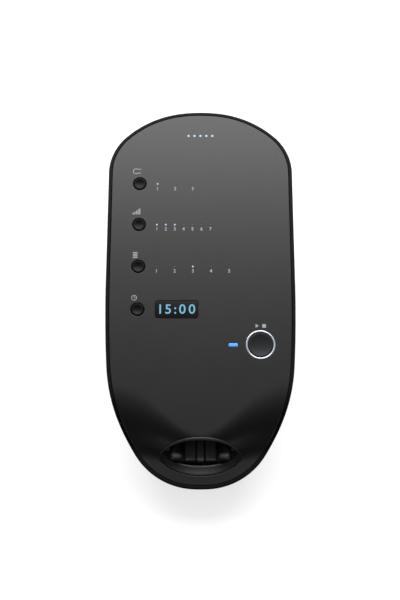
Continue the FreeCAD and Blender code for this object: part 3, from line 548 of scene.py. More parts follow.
def light_rows():
    """Rows of round lights: name, places and hole radius."""
    found = [("battery", [(BATTERY_PITCH * i, BATTERY_V) for i in range(-2, 3)], BATTERY_HOLE)]
    for name, (first, pitch, count, _) in LIGHT_ROWS.items():
        found.append((name, [(first + pitch * i, BUTTONS[name]) for i in range(count)], LIGHT_HOLE))
    return found


def round_hole(u, v, radius, count):
    """Maker of a round opening's points, grown by an amount."""
    return lambda grow: [(u + x, v + y) for x, y in circle(radius + grow, count)]


def long_hole(u, v, half_u, half_v, radius, count):
    """Maker of a rounded oblong opening's points, grown by an amount."""
    return lambda grow: rounded_rect(u, v, half_u + grow, half_v + grow, radius + grow, count)


def cover_holes():
    """Openings of the flat part: the maker of each one's points and the round of its edge."""
    holes = [(round_hole(BUTTON_U, v, BUTTON_HOLE, 56), 0.28) for v in BUTTONS.values()]
    holes.append((round_hole(START_U, START_V, START_HOLE, 88), 0.12))
    for _, places, radius in light_rows():
        holes += [(round_hole(u, v, radius, 20), 0.06) for u, v in places]
    holes.append((long_hole(STATUS_U, STATUS_V, *STATUS_HOLE, 5), 0.08))
    holes.append((long_hole(WINDOW_U, WINDOW_V, *WINDOW_HOLE, 8), 0.12))
    return holes


def inside(polygon, p):
    """True where a point lies in a polygon."""
    hit = False
    for (ax, ay), (bx, by) in zip(polygon, polygon[1:] + polygon[:1]):
        if (ay > p[1]) != (by > p[1]) and p[0] < ax + (bx - ax) * (p[1] - ay) / (by - ay):
            hit = not hit
    return hit


def rays_round_mouth(stations):
    """Ways out from the mouth to the line where the drop starts, then to the chin's edge.

    Also gives the outline's stations that they end at: right corner, left corner, and the chin's.
    """
    above, below = next((s, t) for s, t in zip(stations, stations[1:]) if s[1] >= DROP_START_SIDE > t[1])
    corner = between(above, below, (above[1] - DROP_START_SIDE) / (above[1] - below[1]))
    rise = DROP_START_SIDE - MOUTH_CENTRE.y
    right = math.atan2(rise, inset_point(corner, START_INSET)[0])
    left = math.pi - right
    sweep = 2 * math.pi - (left - right)
    # Both rows of angles run anticlockwise
    upper = [right + (left - right) * i / UPPER_STEPS for i in range(UPPER_STEPS + 1)]
    lower = [left + sweep * i / LOWER_STEPS for i in range(1, LOWER_STEPS)]
    mouth = mouth_by_angle()
    rays, ends = [], []
    for angle in upper + lower:
        values = at_angle(mouth, angle)
        edge, foot, lip = Vector(values[:3]), Vector(values[3:6]), Vector(values[6:9])
        if angle <= upper[-1]:
            end = Vector((math.cos(angle) * (rise / math.sin(angle)), DROP_START_SIDE))
            if angle in (upper[0], upper[-1]):
                u, v, nu, nv = corner
                ends.append((math.copysign(u, end.x), v, math.copysign(nu, end.x), nv))
        else:
            ends.append(ray_hit(MOUTH_CENTRE, angle, stations, START_INSET))
            end = Vector(inset_point(ends[-1], START_INSET))
        p = to_face(edge)
        begin = Vector((p.x, p.y))
        begin = begin + (end - begin).normalized() * MOUTH_ROUND
        rays.append(Ray(edge, foot, lip, values[9], begin, end))
    return rays, ends


def drop(bm, rays):
    """Face along the rays; gives the row of vertices at the mouth's edge."""
    count = 26
    grid = []
    for k in range(count + 1):
        share = (k / count) ** 1.15
        places = [ray.begin + (ray.end - ray.begin) * share for ray in rays]
        grid.append([face(q.x, q.y, surface(q.x, q.y)) for q in places])
    return rows(bm, grid)[0]


def mouth_lip(bm, rays, first):
    """Rounded edge of the mouth, the scoop under it, and the walls back to the insert."""
    start = [vert.co.copy() for vert in first]
    sinks = [min(ray.share * 4, 1.0) for ray in rays]
    rings = []
    for t in (i / 6 for i in range(1, 7)):
        ring = []
        for ray, sunk, p in zip(rays, sinks, start):
            away = ray.foot * (1 - sunk) + (ray.edge - UP_N * 0.0003) * sunk
            ring.append(p * (1 - t) ** 2 + ray.edge * 2 * t * (1 - t) + away * t * t)
        rings.append(ring)
    start = rings[-1]
    for into, down in GROOVE:
        ring = []
        for ray, sunk, p in zip(rays, sinks, start):
            way = (ray.lip - ray.edge).normalized() if ray.share > 0 else Vector((0, 0, 0))
            groove = ray.edge + way * into / 1000 - UP_N * down / 1000
            ring.append(p * (1 - sunk) + groove * sunk)
        rings.append(ring)
    start = rings[-1]
    for t in (i / 5 for i in range(1, 6)):
        rings.append([p + (ray.lip - p) * t - UP_N * 0.00012 * ray.share * t * (1 - t) * 4
                      for ray, p in zip(rays, start)])
    for along, down in LIP_BACK:
        rings.append([ray.lip + INWARD * (along + 0.6 * along * (1 - ray.share))
                      - UP_N * 0.001 * down * min(ray.share * 1.4, 1.0) for ray in rays])
    rings.append([p + INWARD * 3.0 for p in rings[-1]])
    made = [first] + [[bm.verts.new(p) for p in ring] for ring in rings]
    for a, b in zip(made, made[1:]):
        strip(bm, a, b)


def flat_part(bm, border):
    """Flat sheet inside a border and its underside, without the openings."""
    loops = [border] + [hole(grow) for hole, grow in cover_holes()]
    points, links = [], []
    for loop in loops:
        first = len(points)
        points += [Vector(p) for p in loop]
        links += [(first + i, first + (i + 1) % len(loop)) for i in range(len(loop))]
    verts, _, tris, _, _, _ = delaunay_2d_cdt(points, links, [], 1, 1e-6)
    flat = [bm.verts.new(face(p.x, p.y)) for p in verts]
    under = [bm.verts.new(face(p.x, p.y, -COVER_THICKNESS)) for p in verts]
    for tri in tris:
        middle = sum((Vector(verts[i]) for i in tri), Vector((0, 0))) / 3
        if any(inside(loop, middle) for loop in loops[1:]):
            continue
        bm.faces.new([flat[i] for i in tri])
        bm.faces.new([under[i] for i in reversed(tri)])


def hole_lips(bm):
    """Rounded edge and wall of each opening, down to the underside."""
    for hole, grow in cover_holes():
        levels = [(grow * (1 - math.sin(t)), -grow * (1 - math.cos(t))) for t in quarter_turn(4)]
        levels += [(0.0, -COVER_THICKNESS), (grow, -COVER_THICKNESS)]
        rows(bm, [[face(*p, n) for p in hole(g)] for g, n in levels])


def outer_edge(bm, stations):
    """Rounded outer edge and side wall, all the way round."""
    levels = [(START_INSET - COVER_ROUND * math.sin(t), -COVER_ROUND * (1 - math.cos(t)))
              for t in quarter_turn(5)]
    levels += [(COVER_INSET, -COVER_THICKNESS), (START_INSET, -COVER_THICKNESS)]
    base = [surface(*inset_point(s, START_INSET)) for s in stations]
    rows(bm, [[face(*inset_point(s, inset), h + n) for s, h in zip(stations, base)] for inset, n in levels])


def smooth_normals(piece):
    """Gives the cover's top the drawn surface's own normals, for even reflections."""
    tolerance = 2e-3
    normals = []
    for vertex in piece.data.vertices:
        p = to_face(vertex.co)
        on_top = abs(p.z - surface(p.x, p.y)) < tolerance
        normals.append(surface_normal(p.x, p.y) if on_top else Vector((0, 0, 0)))
    piece.data.normals_split_custom_set_from_vertices(normals)


def cover():
    """Face cover: flat part with its openings, drop with the tongue, rounded edges and socket's tunnel."""
    clear = 0.4
    bm = bmesh.new()
    stations = outline(1.5)
    rays, ends = rays_round_mouth(stations)
    mouth_lip(bm, rays, drop(bm, rays))
    head = [s for s in stations if inset_point(s, START_INSET)[1] > DROP_START_SIDE + clear]
    split = next(i for i, s in enumerate(stations) if s not in head)
    head = head[split:] + head[:split]
    line = [tuple(ray.end) for ray in rays[:UPPER_STEPS + 1]]
    flat_part(bm, [inset_point(s, START_INSET) for s in head] + line)
    hole_lips(bm)
    right, left, *chin = ends
    outer_edge(bm, head + [right] + chin[::-1] + [left])
    piece = finished("cover_face", bm, [FACE], smooth=40.0, weld=2e-6)
    smooth_normals(piece)
    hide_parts("face_cover")


# Housing

OUTSIDE = (0.0, BASE_Z)
INSIDE = (WALL, FLOOR_Z)
ON_FLOOR, ON_CHIN, ON_BOTH = range(3)
RIM_ROLL = 0.85


def rim_height(v):
    """Height of the rim, which falls as the face does at its sides."""
    return surface(HALF_WIDTH * 2, v)


def wall_end(station, inset, floor_z):
    """Lower end of the leaning wall, on the floor's plane or on the chin's, as (point, which)."""
    run = 100.0
    top = face(*inset_point(station, inset), -SKIRT) * 1000
    way = face(*inset_point(station, inset + DRAFT * run), -SKIRT - run) * 1000 - top
    floor_share = (floor_z + SHIFT_Z - top.z) / way.z
    normal = Vector((0, math.cos(CHIN_LEAN), math.sin(CHIN_LEAN)))
    edge = face(0, *CHIN_EDGE) * 1000 + normal * inset
    way_side = way.dot(normal)
    if way_side < 0 and -(top - edge).dot(normal) / way_side < floor_share:
        return (top + way * max(-(top - edge).dot(normal) / way_side, 0.0)) / 1000, ON_CHIN
    return (top + way * floor_share) / 1000, ON_FLOOR


def with_changes(stations, wall):
    """Stations with one more wherever the wall's end goes from the floor to the chin's plane."""
    out, marks = [], []
    for s, t in zip(stations, stations[1:] + stations[:1]):
        out.append(s)
        kind = wall_end(s, *wall)[1]
        if kind == wall_end(t, *wall)[1]:
            continue
        low, high = 0.0, 1.0
        for _ in range(40):
            middle = (low + high) / 2
            if wall_end(between(s, t, middle), *wall)[1] == kind:
                low = middle
            else:
                high = middle
        marks.append(between(s, t, low))
        out.append(marks[-1])
    return out, marks


def close_end(bm, ring, stations, marks, wall):
    """Floor and chin faces over the lower end of a wall."""
    kinds = [ON_BOTH if s in marks else wall_end(s, *wall)[1] for s in stations]
    return [bm.faces.new([vert for vert, kind in zip(ring, kinds) if kind in (plane, ON_BOTH)])
            for plane in (ON_FLOOR, ON_CHIN)]


def housing():
    """Open shell with its rounded rim, leaning walls, undercut chin and floor."""
    bm = bmesh.new()
    stations, outer_marks = with_changes(outline(2.2), OUTSIDE)
    stations, inner_marks = with_changes(stations, INSIDE)

    def skirt(inset, depth):
        """Row where a wall starts to lean, at least a little below a depth under the rim."""
        return [face(*inset_point(s, inset), min(-SKIRT, rim_height(s[1]) - depth - 0.1)) for s in stations]

    rim = [(WALL, -COVER_THICKNESS), (RIM_WIDTH, -COVER_THICKNESS), (RIM_WIDTH, -0.2),
           (RIM_WIDTH - 0.06, -0.06), (RIM_WIDTH - 0.2, 0.0)]
    rim += [(RIM_ROLL * (1 - math.sin(t)), -RIM_ROLL * (1 - math.cos(t))) for t in quarter_turn(7)]
    rings = [[wall_end(s, *INSIDE)[0] for s in stations], skirt(WALL, COVER_THICKNESS)]
    rings += [[face(*inset_point(s, inset), rim_height(s[1]) + n) for s in stations] for inset, n in rim]
    rings += [skirt(0.0, RIM_ROLL), [wall_end(s, *OUTSIDE)[0] for s in stations]]
    made = rows(bm, rings)
    weight = bm.edges.layers.float.new("bevel_weight_edge")
    close_end(bm, made[0], stations, inner_marks, INSIDE)
    for f in close_end(bm, made[-1], stations, outer_marks, OUTSIDE):
        for e in f.edges:
            e[weight] = 1.0
    piece = finished("housing_shell", bm, [SHELL])
    take_out(piece, housing_openings())
    round_edges(piece, 1.1, 4, "WEIGHT")
    sharpen(piece, 32.0)
    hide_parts("lower_housing")


def housing_openings():
    """Volumes of the intake slots and the inlet's hole."""
    count, pitch, middle_x = 6, 4.0, -14.0
    low_y, high_y, radius = -3.0, 11.0, 1.0
    inlet_radius, inlet_z = 4.75, -57.0
    bm = bmesh.new()
    for i in range(count):
        x = middle_x + pitch * (i - (count - 1) / 2)
        ring = [(x + a, (high_y - radius if b > 0 else low_y + radius) + b)
                for a, b in circle(radius, 24)]
        tube(bm, [[level(*p, z) for p in ring] for z in (BASE_Z - 1, FLOOR_Z + 1)])
    tube(bm, [[level(a, y, inlet_z + b) for a, b in circle(inlet_radius, 64)] for y in (110.0, 130.0)])
    return bm


cover()
housing()


# Buttons and ring

DISH_DEPTH = 0.5
CAP_LOW = -2.55
FLANGE_LOW = -3.55
STEM_LOW = -5.35
FLANGE_OUT = 1.5
STEM_HALF = 1.6


def button(name, u, v, material, radius, proud, edge):
    """Push button: dished cap with a rounded edge, its square flange and its stem."""
    bm = bmesh.new()
    inner = radius - edge
    profile = [(radius, CAP_LOW)]
    profile += [(radius - edge * (1 - math.cos(t)), proud - edge * (1 - math.sin(t)))
                for t in quarter_turn(6)]
    profile += [(inner * (1 - i / 14), proud - DISH_DEPTH * (1 - (1 - i / 14) ** 2)) for i in range(1, 14)]
    profile.append((0.02, proud - DISH_DEPTH))
    tube(bm, turned(u, v, profile, 72))
    flange = radius + FLANGE_OUT
    slab(bm, rounded_rect(u, v, flange, flange, 0.4, 4), FLANGE_LOW, CAP_LOW)
    slab(bm, rounded_rect(u, v, STEM_HALF, STEM_HALF, 0.2, 3), STEM_LOW, FLANGE_LOW)
    piece = finished("cap_" + name, bm, [material], name, smooth=45.0)
    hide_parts(name)


def start_ring():
    """Bright ring with a rolled top."""
    bm = bmesh.new()
    middle, half, rise, foot = 7.6, 0.68, 0.35, -2.5
    turns = [math.pi * i / 12 for i in range(13)]
    top = [(middle + half * math.cos(t), rise * math.sin(t)) for t in turns]
    profile = [(middle + half, foot)] + top + [(middle - half, foot)]
    hoop(bm, turned(START_U, START_V, profile, 112))
    piece = finished("ring_trim", bm, [TRIM])
    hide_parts("start_ring")


for key, place_v in BUTTONS.items():
    button("button_" + key, BUTTON_U, place_v, CAP, radius=3.62, proud=0.2, edge=0.75)
button("start_button", START_U, START_V, DISH, radius=6.75, proud=0.1, edge=0.4)
start_ring()


# Lights and window

BAR_LOW = -4.6
BAR_TOP = -2.6
BAR_HALF_V = 2.0
BAR_PAST = 3.0
LENS_GAP = 0.08
DOME_LOW, DOME_RISE = -0.1, 0.08
STATUS_LENS = (2.47, 0.87, 0.5)
WINDOW_LENS = (11.9, 5.1, 1.6)
LIT_LIGHTS = {"battery": range(5), "attachment": (0,), "pressure": (0, 1, 2), "zone": (2,)}


def light_row(name, places, radius, lit):
    """Bar with a domed round lens up through each hole; the lit ones glow."""
    bm = bmesh.new()
    v = places[0][1]
    low, high = places[0][0] - BAR_PAST, places[-1][0] + BAR_PAST
    slab(bm, rounded_rect((low + high) / 2, v, (high - low) / 2, BAR_HALF_V, 0.4, 4), BAR_LOW, BAR_TOP)
    radius = radius - LENS_GAP
    dome = [(radius * math.cos(t), DOME_LOW + DOME_RISE * math.sin(t)) for t in quarter_turn(5)[:-1]]
    profile = [(radius, BAR_TOP)] + dome + [(0.02, DOME_LOW + DOME_RISE)]
    for i, (u, v) in enumerate(places):
        tube(bm, turned(u, v, profile, 24), 1 if i in lit else 0)
    piece = finished("lights_" + name, bm, [DEAD, LIT], smooth=50.0)
    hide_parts("light_pipe_" + name)


def lens(bm, u, v, half_u, half_v, radius, count, levels, index=0):
    """Rounded oblong lens with a softened edge, from levels of (inset, n)."""
    tube(bm, [[face(*p, n) for p in rounded_rect(u, v, half_u - g, half_v - g, radius - g, count)]
              for g, n in levels], index)


def status_light():
    """Blue bar lens beside the start button."""
    bm = bmesh.new()
    slab(bm, rounded_rect(STATUS_U, STATUS_V, 3.55, BAR_HALF_V, 0.4, 4), BAR_LOW, BAR_TOP)
    levels = [(0.0, BAR_TOP), (0.0, -0.16), (0.04, -0.06), (0.14, 0.0)]
    lens(bm, STATUS_U, STATUS_V, *STATUS_LENS, 5, levels, 1)
    piece = finished("lights_status", bm, [DEAD, BLUE], smooth=50.0)
    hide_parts("light_pipe_status")


def window():
    """Dark lens over the display."""
    bm = bmesh.new()
    levels = [(0.0, -1.1), (0.0, -0.25), (0.07, -0.07), (0.25, 0.0)]
    lens(bm, WINDOW_U, WINDOW_V, *WINDOW_LENS, 8, levels)
    piece = finished("window_lens", bm, [SCREEN], smooth=50.0)
    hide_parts("display_window")


for row_name, row_places, hole_radius in light_rows():
    light_row(row_name, row_places, hole_radius, LIT_LIGHTS[row_name])
status_light()
window()


# Marks printed on the face: plain numbers and signs

PRINT_N = 0.02
NUMBER_SIZE = 2.75
DIGIT_SIZE, DIGIT_V = 7.5, -11.38
DIGITS = (("1", -22.25), ("5", -17.85), (":", -13.95), ("0", -10.0), ("0", -4.7))
SIGN_U = -37.0


def text_piece(name, words, size, u, v, material, bold, stretch=1.0):
    """Plain characters laid on the face, as a thin solid."""
    curve = bpy.data.curves.new(name, "FONT")
    curve.body = words
    curve.size = size / 1000
    curve.align_x = curve.align_y = "CENTER"
    curve.extrude = 0.000015
    curve.offset = bold / 1000
    text = placed(name, curve)
    mesh = baked(text)
    bpy.data.objects.remove(text)
    place = Matrix.Translation(face(u, v, PRINT_N)) @ Matrix.Rotation(TILT, 4, "X")
    mesh.transform(place @ Matrix.Diagonal((stretch, 1, 1, 1)))
    made = link(name, mesh, HOUSING, [material])


def pictogram(name, shapes):
    """Plain sign printed on the face, from filled outlines in the face frame."""
    bm = bmesh.new()
    for corners in shapes:
        slab(bm, corners, -0.02, 0.035)
    piece = finished(name, bm, [INK], smooth=20.0)


def plate(u, v, half_u, half_v):
    """Small oblong of a sign, with barely rounded corners."""
    return rounded_rect(u, v, half_u, half_v, 0.12, 3)


def arc_band(u, v, radius, width, start, stop):
    """Part of a flat ring, as one outline."""
    count = 28
    angles = [math.radians(start + (stop - start) * i / count) for i in range(count + 1)]
    inner = radius - width
    return ([(u + radius * math.cos(t), v + radius * math.sin(t)) for t in angles]
            + [(u + inner * math.cos(t), v + inner * math.sin(t)) for t in reversed(angles)])


def numbers():
    """Plain numbers under the rows of lights, and a plain time in the display."""
    for name, (first, pitch, count, number_v) in LIGHT_ROWS.items():
        for i in range(count):
            text_piece("number_%s_%d" % (name, i + 1), str(i + 1), NUMBER_SIZE, first + pitch * i, number_v,
                       INK, bold=0.05)
    for i, (sign, u) in enumerate(DIGITS):
        text_piece("digit_%d" % (i + 1), sign, DIGIT_SIZE, u, DIGIT_V, DIGIT, 0.075, 1.04)


def signs():
    """Cuff, rising bars, stacked zones, clock, and start and stop."""
    pictogram("sign_attachment", [arc_band(SIGN_U - 0.1, 70.7, 1.75, 0.38, 40, 320)]
              + [plate(SIGN_U + 1.9, v, 0.9, 0.19) for v in (71.9, 69.5)])
    pictogram("sign_pressure", [plate(SIGN_U - 1.35 + 0.95 * i, 44.8 + 0.33 * i, 0.27, 0.5 + 0.33 * i)
                                for i in range(5)])
    pictogram("sign_zone", [plate(SIGN_U + 0.3, 18.7 + 0.95 * i, 1.3, 0.28) for i in range(4)])
    clock = [arc_band(SIGN_U + 0.2, -4.6, 1.55, 0.34, a, b) for a, b in ((0, 179.9), (180, 359.9))]
    clock += [plate(SIGN_U + 0.2, -4.2, 0.17, 0.55), plate(SIGN_U + 0.55, -4.6, 0.4, 0.17)]
    pictogram("sign_time", clock)
    pictogram("sign_start", [[(30.3, -21.75), (32.1, -20.62), (30.3, -19.5)], plate(35.0, -20.62, 1.0, 1.0)])


numbers()
signs()


# Socket

PLATE_Y = PORT_REAR_Y - 1.5
SOCKET_FLOOR = -45.6
FLOOR_HALF, FLOOR_FRONT = 12.0, -82.2
RIB_HALF, RIB_HIGH = 1.85, 3.1
BLOCK_X, BLOCK_FRONT, BLOCK_HIGH = (2.75, 8.5), -83.1, 2.5
CATCH_X, CATCH_FRONT, CATCH_Z = (16.6, 18.7), -79.6, (PORT_Z - 3.0, PORT_Z - 0.6)
PLATE_HALF_X, PLATE_HALF_Z = 0.93 * 22.1, 10.4
AIR_HOLES = (-11.2, -5.6, 0.0, 5.6, 11.2)
AIR_HOLE_RADIUS, AIR_HOLE_RISE = 1.1, 3.4
POST_X = 14.1
POST_Z = PORT_Z - 4.5
POST_PROFILE = ((PLATE_Y, 2.1), (-81.6, 2.05), (-83.9, 1.8), (-84.3, 1.4))
LOOP_POINTS = 80

# Section of the bead, as (share of the way inwards, relative height), and the depths of its inner wall
BEAD_SECTION = ((0.0, -0.1), (0.05, 0.08), (0.14, 0.22), (0.27, 0.33), (0.42, 0.4), (0.58, 0.4),
                (0.73, 0.32), (0.86, 0.16), (0.95, -0.1), (1.0, -0.45))
BEAD_DEPTHS = (1.5, 3.0, 6.0, 10.0, 23.0)


def mouth_loop():
    """Outer rim of the bead, as (point, share): under the hood's edge, and behind the scoop's lip."""
    out = []
    for i in range(LOOP_POINTS + 1):
        u = TIP_U * math.cos(math.pi * i / LOOP_POINTS)
        v = MOUTH_MIDDLE + HOOD_RISE * math.sqrt(1 - (u / MOUTH_HALF) ** 2)
        out.append((face(u, v, surface(u, v) - 0.06), 0.0))
    for i in range(1, LOOP_POINTS):
        u, v, n, share = scoop_lip(-SCOOP_HALF * math.cos(math.pi * i / LOOP_POINTS))
        out.append((face(u, v + 0.3 * share, n - 0.1 - 1.3 * share), share))
    return out


def bead():
    """Rolled bead round the mouth, thick under the hood, and thin and sunk back below."""
    thick, thinning = 1.9, 1.3
    tip_rise, tip_x = 4.0, 20.2
    bm = bmesh.new()
    middle = (face(TIP_U, TIP_V, TIP_N) + face(-TIP_U, TIP_V, TIP_N)) / 2
    outer, inner, front, lows = [], [], [], []
    for p, low in mouth_loop():
        lows.append(low)
        q = p - middle
        inner.append(middle + Vector((q.x * 0.933, q.y * (0.67 + 0.33 * low), q.z * (0.85 + 0.06 * low))))
        outer.append(p - q.normalized() * 0.00012)
    for k in range(len(outer)):
        along = outer[(k + 1) % len(outer)] - outer[k - 1]
        way = along.cross(inner[k] - outer[k]).normalized()
        front.append(-way if way.y > 0 else way)
    sunk = INWARD * 1.5 + Vector((0, 0, -0.0012))
    rings = [[p + INWARD * back + sunk * low for p, low in zip(outer, lows)] for back in (6.0, 0.6)]
    for share, proud in BEAD_SECTION:
        rings.append([a + (b - a) * share + w * proud * (thick - thinning * low) / 1000 + sunk * low
                      for a, b, w, low in zip(outer, inner, front, lows)])
    for depth in BEAD_DEPTHS:
        ring = []
        for b, low in zip(inner, lows):
            raised = tip_rise * (b.x * 1000 / tip_x) ** 2 * min(depth / 10.0, 1.0)
            ring.append(b + INWARD * depth + Vector((0, 0, raised / 1000)) + sunk * low)
        rings.append(ring)
    hoop(bm, rings)
    piece = finished("socket_bead", bm, [SOCKET], smooth=60.0)
    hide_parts("port_bezel")


def bar(bm, low, high, taper=0.0):
    """Block in the level frame, drawn in a little at its front end."""
    (x0, y0, z0), (x1, y1, z1) = low, high
    mid = (x0 + x1) / 2
    rings = []
    for y, t in ((y0, taper), (y1, 0.0)):
        rings.append([level(mid + (x - mid) * (1 - t), y, z - (0.4 * t * (z1 - z0) if z == z1 else 0.0))
                      for x, z in ((x0, z0), (x1, z0), (x1, z1), (x0, z1))])
    tube(bm, rings)


def insert():
    """Connector inside the mouth: floor, rib, two blocks and side catches."""
    bm = bmesh.new()
    foot_z = SOCKET_FLOOR - 0.2
    bar(bm, (-RIB_HALF, BLOCK_FRONT - 0.5, foot_z), (RIB_HALF, PLATE_Y, SOCKET_FLOOR + RIB_HIGH))
    for side in (-1, 1):
        low, high = sorted(side * x for x in BLOCK_X)
        bar(bm, (low, BLOCK_FRONT, foot_z), (high, PLATE_Y, SOCKET_FLOOR + BLOCK_HIGH))
        low, high = sorted(side * x for x in CATCH_X)
        bar(bm, (low, CATCH_FRONT, CATCH_Z[0]), (high, PLATE_Y, CATCH_Z[1]), 0.2)
    bar(bm, (-FLOOR_HALF, FLOOR_FRONT, SOCKET_FLOOR - 1.2), (FLOOR_HALF, PLATE_Y, SOCKET_FLOOR - 0.3))
    piece = finished("connector_insert", bm, [INSERT])
    round_edges(piece, 0.32, 3, "ANGLE")
    sharpen(piece, 40.0)
    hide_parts("connector_block")


def back_plate():
    """Oval plate behind the connector, with its air holes."""
    bm = bmesh.new()
    tube(bm, [[level(PLATE_HALF_X * x * k, y, PORT_Z + PLATE_HALF_Z * z * k)
               for x, z in circle(1.0, 96)]
              for k, y in ((1.0, PORT_REAR_Y), (1.0, PLATE_Y + 0.3), (0.985, PLATE_Y))])
    back = finished("connector_plate", bm, [INSERT], smooth=50.0)
    tool = bmesh.new()
    for x in AIR_HOLES:
        tube(tool, [[level(x + a, y, PORT_Z + AIR_HOLE_RISE + b)
                     for a, b in circle(AIR_HOLE_RADIUS, 40)]
                    for y in (PLATE_Y - 2.0, PORT_REAR_Y + 2.0)])
    take_out(back, tool)
    sharpen(back, 40.0)


def swell(value, power):
    """Power of a number that keeps its sign."""
    return math.copysign(abs(value) ** power, value)


def post(side):
    """Guide post: round bar with a wide rounded head that reaches inward."""
    bm = bmesh.new()
    tube(bm, [[level(side * POST_X + a, y, POST_Z + b) for a, b in circle(radius, 40)]
              for y, radius in POST_PROFILE])
    head_x, head_y, head_z = side * 12.85, -81.9, POST_Z + 0.55
    half_x, half_y, half_z = 3.15, 2.5, 1.75
    count = 24
    rings = []
    for i in range(1, count):
        t = math.pi * i / count - math.pi / 2
        wide = swell(math.cos(t), 0.75)
        rings.append([level(head_x + half_x * wide * swell(a, 0.75), head_y + half_y * wide * swell(b, 0.8),
                            head_z + half_z * swell(math.sin(t), 0.7)) for a, b in circle(1.0, 48)])
    tube(bm, rings)
    name = "left" if side < 0 else "right"
    piece = finished("post_" + name, bm, [POST], smooth=45.0)
    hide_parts("guide_post_" + name)


bead()
insert()
back_plate()
post(-1)
post(1)


# Other CAD nodes keep their shape and take a material

KEPT = ((RUBBER, "feet pump_mounts outlet_duct pump_tube"),
        (SCREEN, "display_module"),
        (BOARD, "control_board main_board"),
        (PARTS, "tact_switches pressure_sensors dc_jack battery_tray pump_body valve_manifold"),
        (CABLE, "ribbon_cable"),
        (BRASS, "dc_contact"),
        (WRAP, "battery_pack"),
        (STEEL, "pump_base pump_motor valve_coils"),
        (FOAM, "intake_filter"))
for kept_material, node_names in KEPT:
    for node_name in node_names.split():
        for holder in frame["nodes"][node_name].material_slots:
            holder.link = "OBJECT"
            holder.material = kept_material


# Stage, light and camera

FLOOR_RADIUS = 1.6
FLOOR_GREY = (0.46, 0.46, 0.46, 1)
BLACK = (0.0, 0.0, 0.0, 1)
WHITE = (1, 1, 1, 1)

# Where the floor counts as near, in metres, how much of it is left far away, and how it glows
NEAR_CENTRE = (0.0, 0.17, 0.0)
NEAR_RANGE = (0.26, 0.37)
FAR_SHARE = 0.06
SHADOW_DEPTH = 0.27
MIRRORED_GLOW = 0.52


def maths(tree, operation, first, second):
    """Sum, product and the like of two numbers or outputs."""
    node = tree.nodes.new("ShaderNodeMath")
    node.operation = operation
    for socket, value in zip(node.inputs, (first, second)):
        if isinstance(value, float):
            socket.default_value = value
        else:
            tree.links.new(value, socket)
    return node.outputs[0]


def mixed(tree, factor, a, b):
    """Colour between two, each given as a colour or as an output."""
    node = tree.nodes.new("ShaderNodeMix")
    node.data_type = "RGBA"
    tree.links.new(factor, node.inputs["Factor"])
    for name, value in (("A", a), ("B", b)):
        if isinstance(value, tuple):
            node.inputs[name].default_value = value
        else:
            tree.links.new(value, node.inputs[name])
    return node.outputs["Result"]


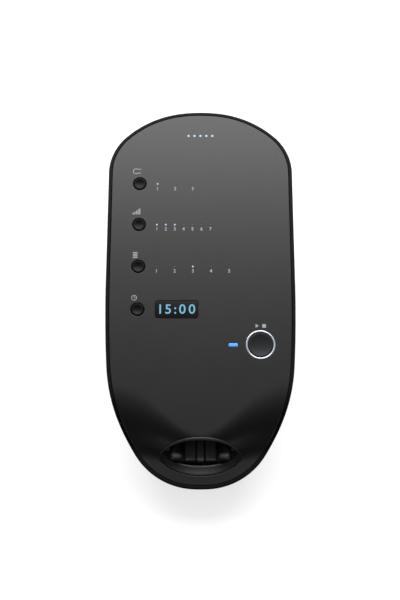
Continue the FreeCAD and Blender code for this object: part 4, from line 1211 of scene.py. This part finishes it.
def floor_material():
    """White floor with the object's shadow; in light and reflections it fades away from the object."""
    material, tree, shader = nodes_of("studio_floor")
    away = tree.nodes.new("ShaderNodeVectorMath")
    away.operation = "DISTANCE"
    away.inputs[1].default_value = NEAR_CENTRE
    tree.links.new(tree.nodes.new("ShaderNodeTexCoord").outputs["Object"], away.inputs[0])
    near = mapped(tree, away.outputs["Value"], NEAR_RANGE, (1.0, FAR_SHARE), "SMOOTHSTEP")
    tree.links.new(mixed(tree, near, BLACK, FLOOR_GREY), shader.inputs["Base Color"])
    settle(shader, {"Roughness": 0.9, "Specular IOR Level": 0.1, "Emission Color": WHITE})

    path = tree.nodes.new("ShaderNodeLightPath")
    by_camera = path.outputs["Is Camera Ray"]
    mirrored = maths(tree, "MAXIMUM", path.outputs["Is Glossy Ray"], path.outputs["Is Transmission Ray"])
    mirrored = maths(tree, "MULTIPLY", maths(tree, "MULTIPLY", mirrored, near), MIRRORED_GLOW)
    seen = maths(tree, "SUBTRACT", 1.0, maths(tree, "MULTIPLY", near, SHADOW_DEPTH))
    seen = maths(tree, "MULTIPLY", seen, by_camera)
    tree.links.new(maths(tree, "ADD", seen, mirrored), shader.inputs["Emission Strength"])

    # Seen from below, the floor is clear
    clear = tree.nodes.new("ShaderNodeBsdfTransparent")
    under = tree.nodes.new("ShaderNodeMixShader")
    behind = tree.nodes.new("ShaderNodeNewGeometry").outputs["Backfacing"]
    tree.links.new(maths(tree, "MULTIPLY", behind, by_camera), under.inputs["Fac"])
    tree.links.new(shader.outputs[0], under.inputs[1])
    tree.links.new(clear.outputs[0], under.inputs[2])
    tree.links.new(under.outputs[0], tree.nodes["Material Output"].inputs["Surface"])
    return material


def floor():
    """Round pale floor."""
    bm = bmesh.new()
    bm.faces.new([bm.verts.new((x, y, 0.0)) for x, y in circle(FLOOR_RADIUS, 96)])
    made = placed("floor", mesh_of("floor", bm))
    made.data.materials.append(floor_material())


def world():
    """Soft grey surround, lighter towards the head, that the camera itself sees as white."""
    made = bpy.data.worlds.new("studio")
    bpy.context.scene.world = made
    made.use_nodes = True
    tree = made.node_tree
    split = tree.nodes.new("ShaderNodeSeparateXYZ")
    tree.links.new(tree.nodes.new("ShaderNodeTexCoord").outputs["Generated"], split.inputs[0])
    height = mapped(tree, split.outputs["Y"], (-1.0, 1.0))
    grey = ramp(tree, height, (0.12, 0.6), ((0.07, 0.07, 0.071), (0.42, 0.42, 0.42)))
    by_camera = tree.nodes.new("ShaderNodeLightPath").outputs["Is Camera Ray"]
    tree.links.new(mixed(tree, by_camera, grey, WHITE), tree.nodes["Background"].inputs["Color"])


def lamp():
    """Wide soft lamp over the head, turned to the face."""
    data = bpy.data.lights.new("head_softbox", "AREA")
    data.shape = "RECTANGLE"
    data.size = 1.7
    data.size_y = 0.9
    data.energy = 31.0
    made = placed("head_softbox", data)
    made.location = (0.0, 0.62, 1.39)
    made.rotation_euler = (Vector((0, 0.0, 0.08)) - made.location).to_track_quat("-Z", "Y").to_euler()


def camera():
    """Camera that looks down on the face."""
    data = bpy.data.cameras.new("camera")
    data.lens = 50.0
    data.sensor_fit = "VERTICAL"
    data.sensor_height = 36.0
    data.sensor_width = 24.0
    made = placed("camera", data)
    aim = Vector((-0.00025, -0.018898, 0.076169))
    distance, angle = 0.4619, math.radians(32.25)
    made.location = aim + distance * Vector((0, -math.sin(angle), math.cos(angle)))
    made.rotation_euler = (angle, 0, 0)
    bpy.context.scene.camera = made


floor()
world()
lamp()
camera()
bpy.context.scene.view_settings.view_transform = "Standard"
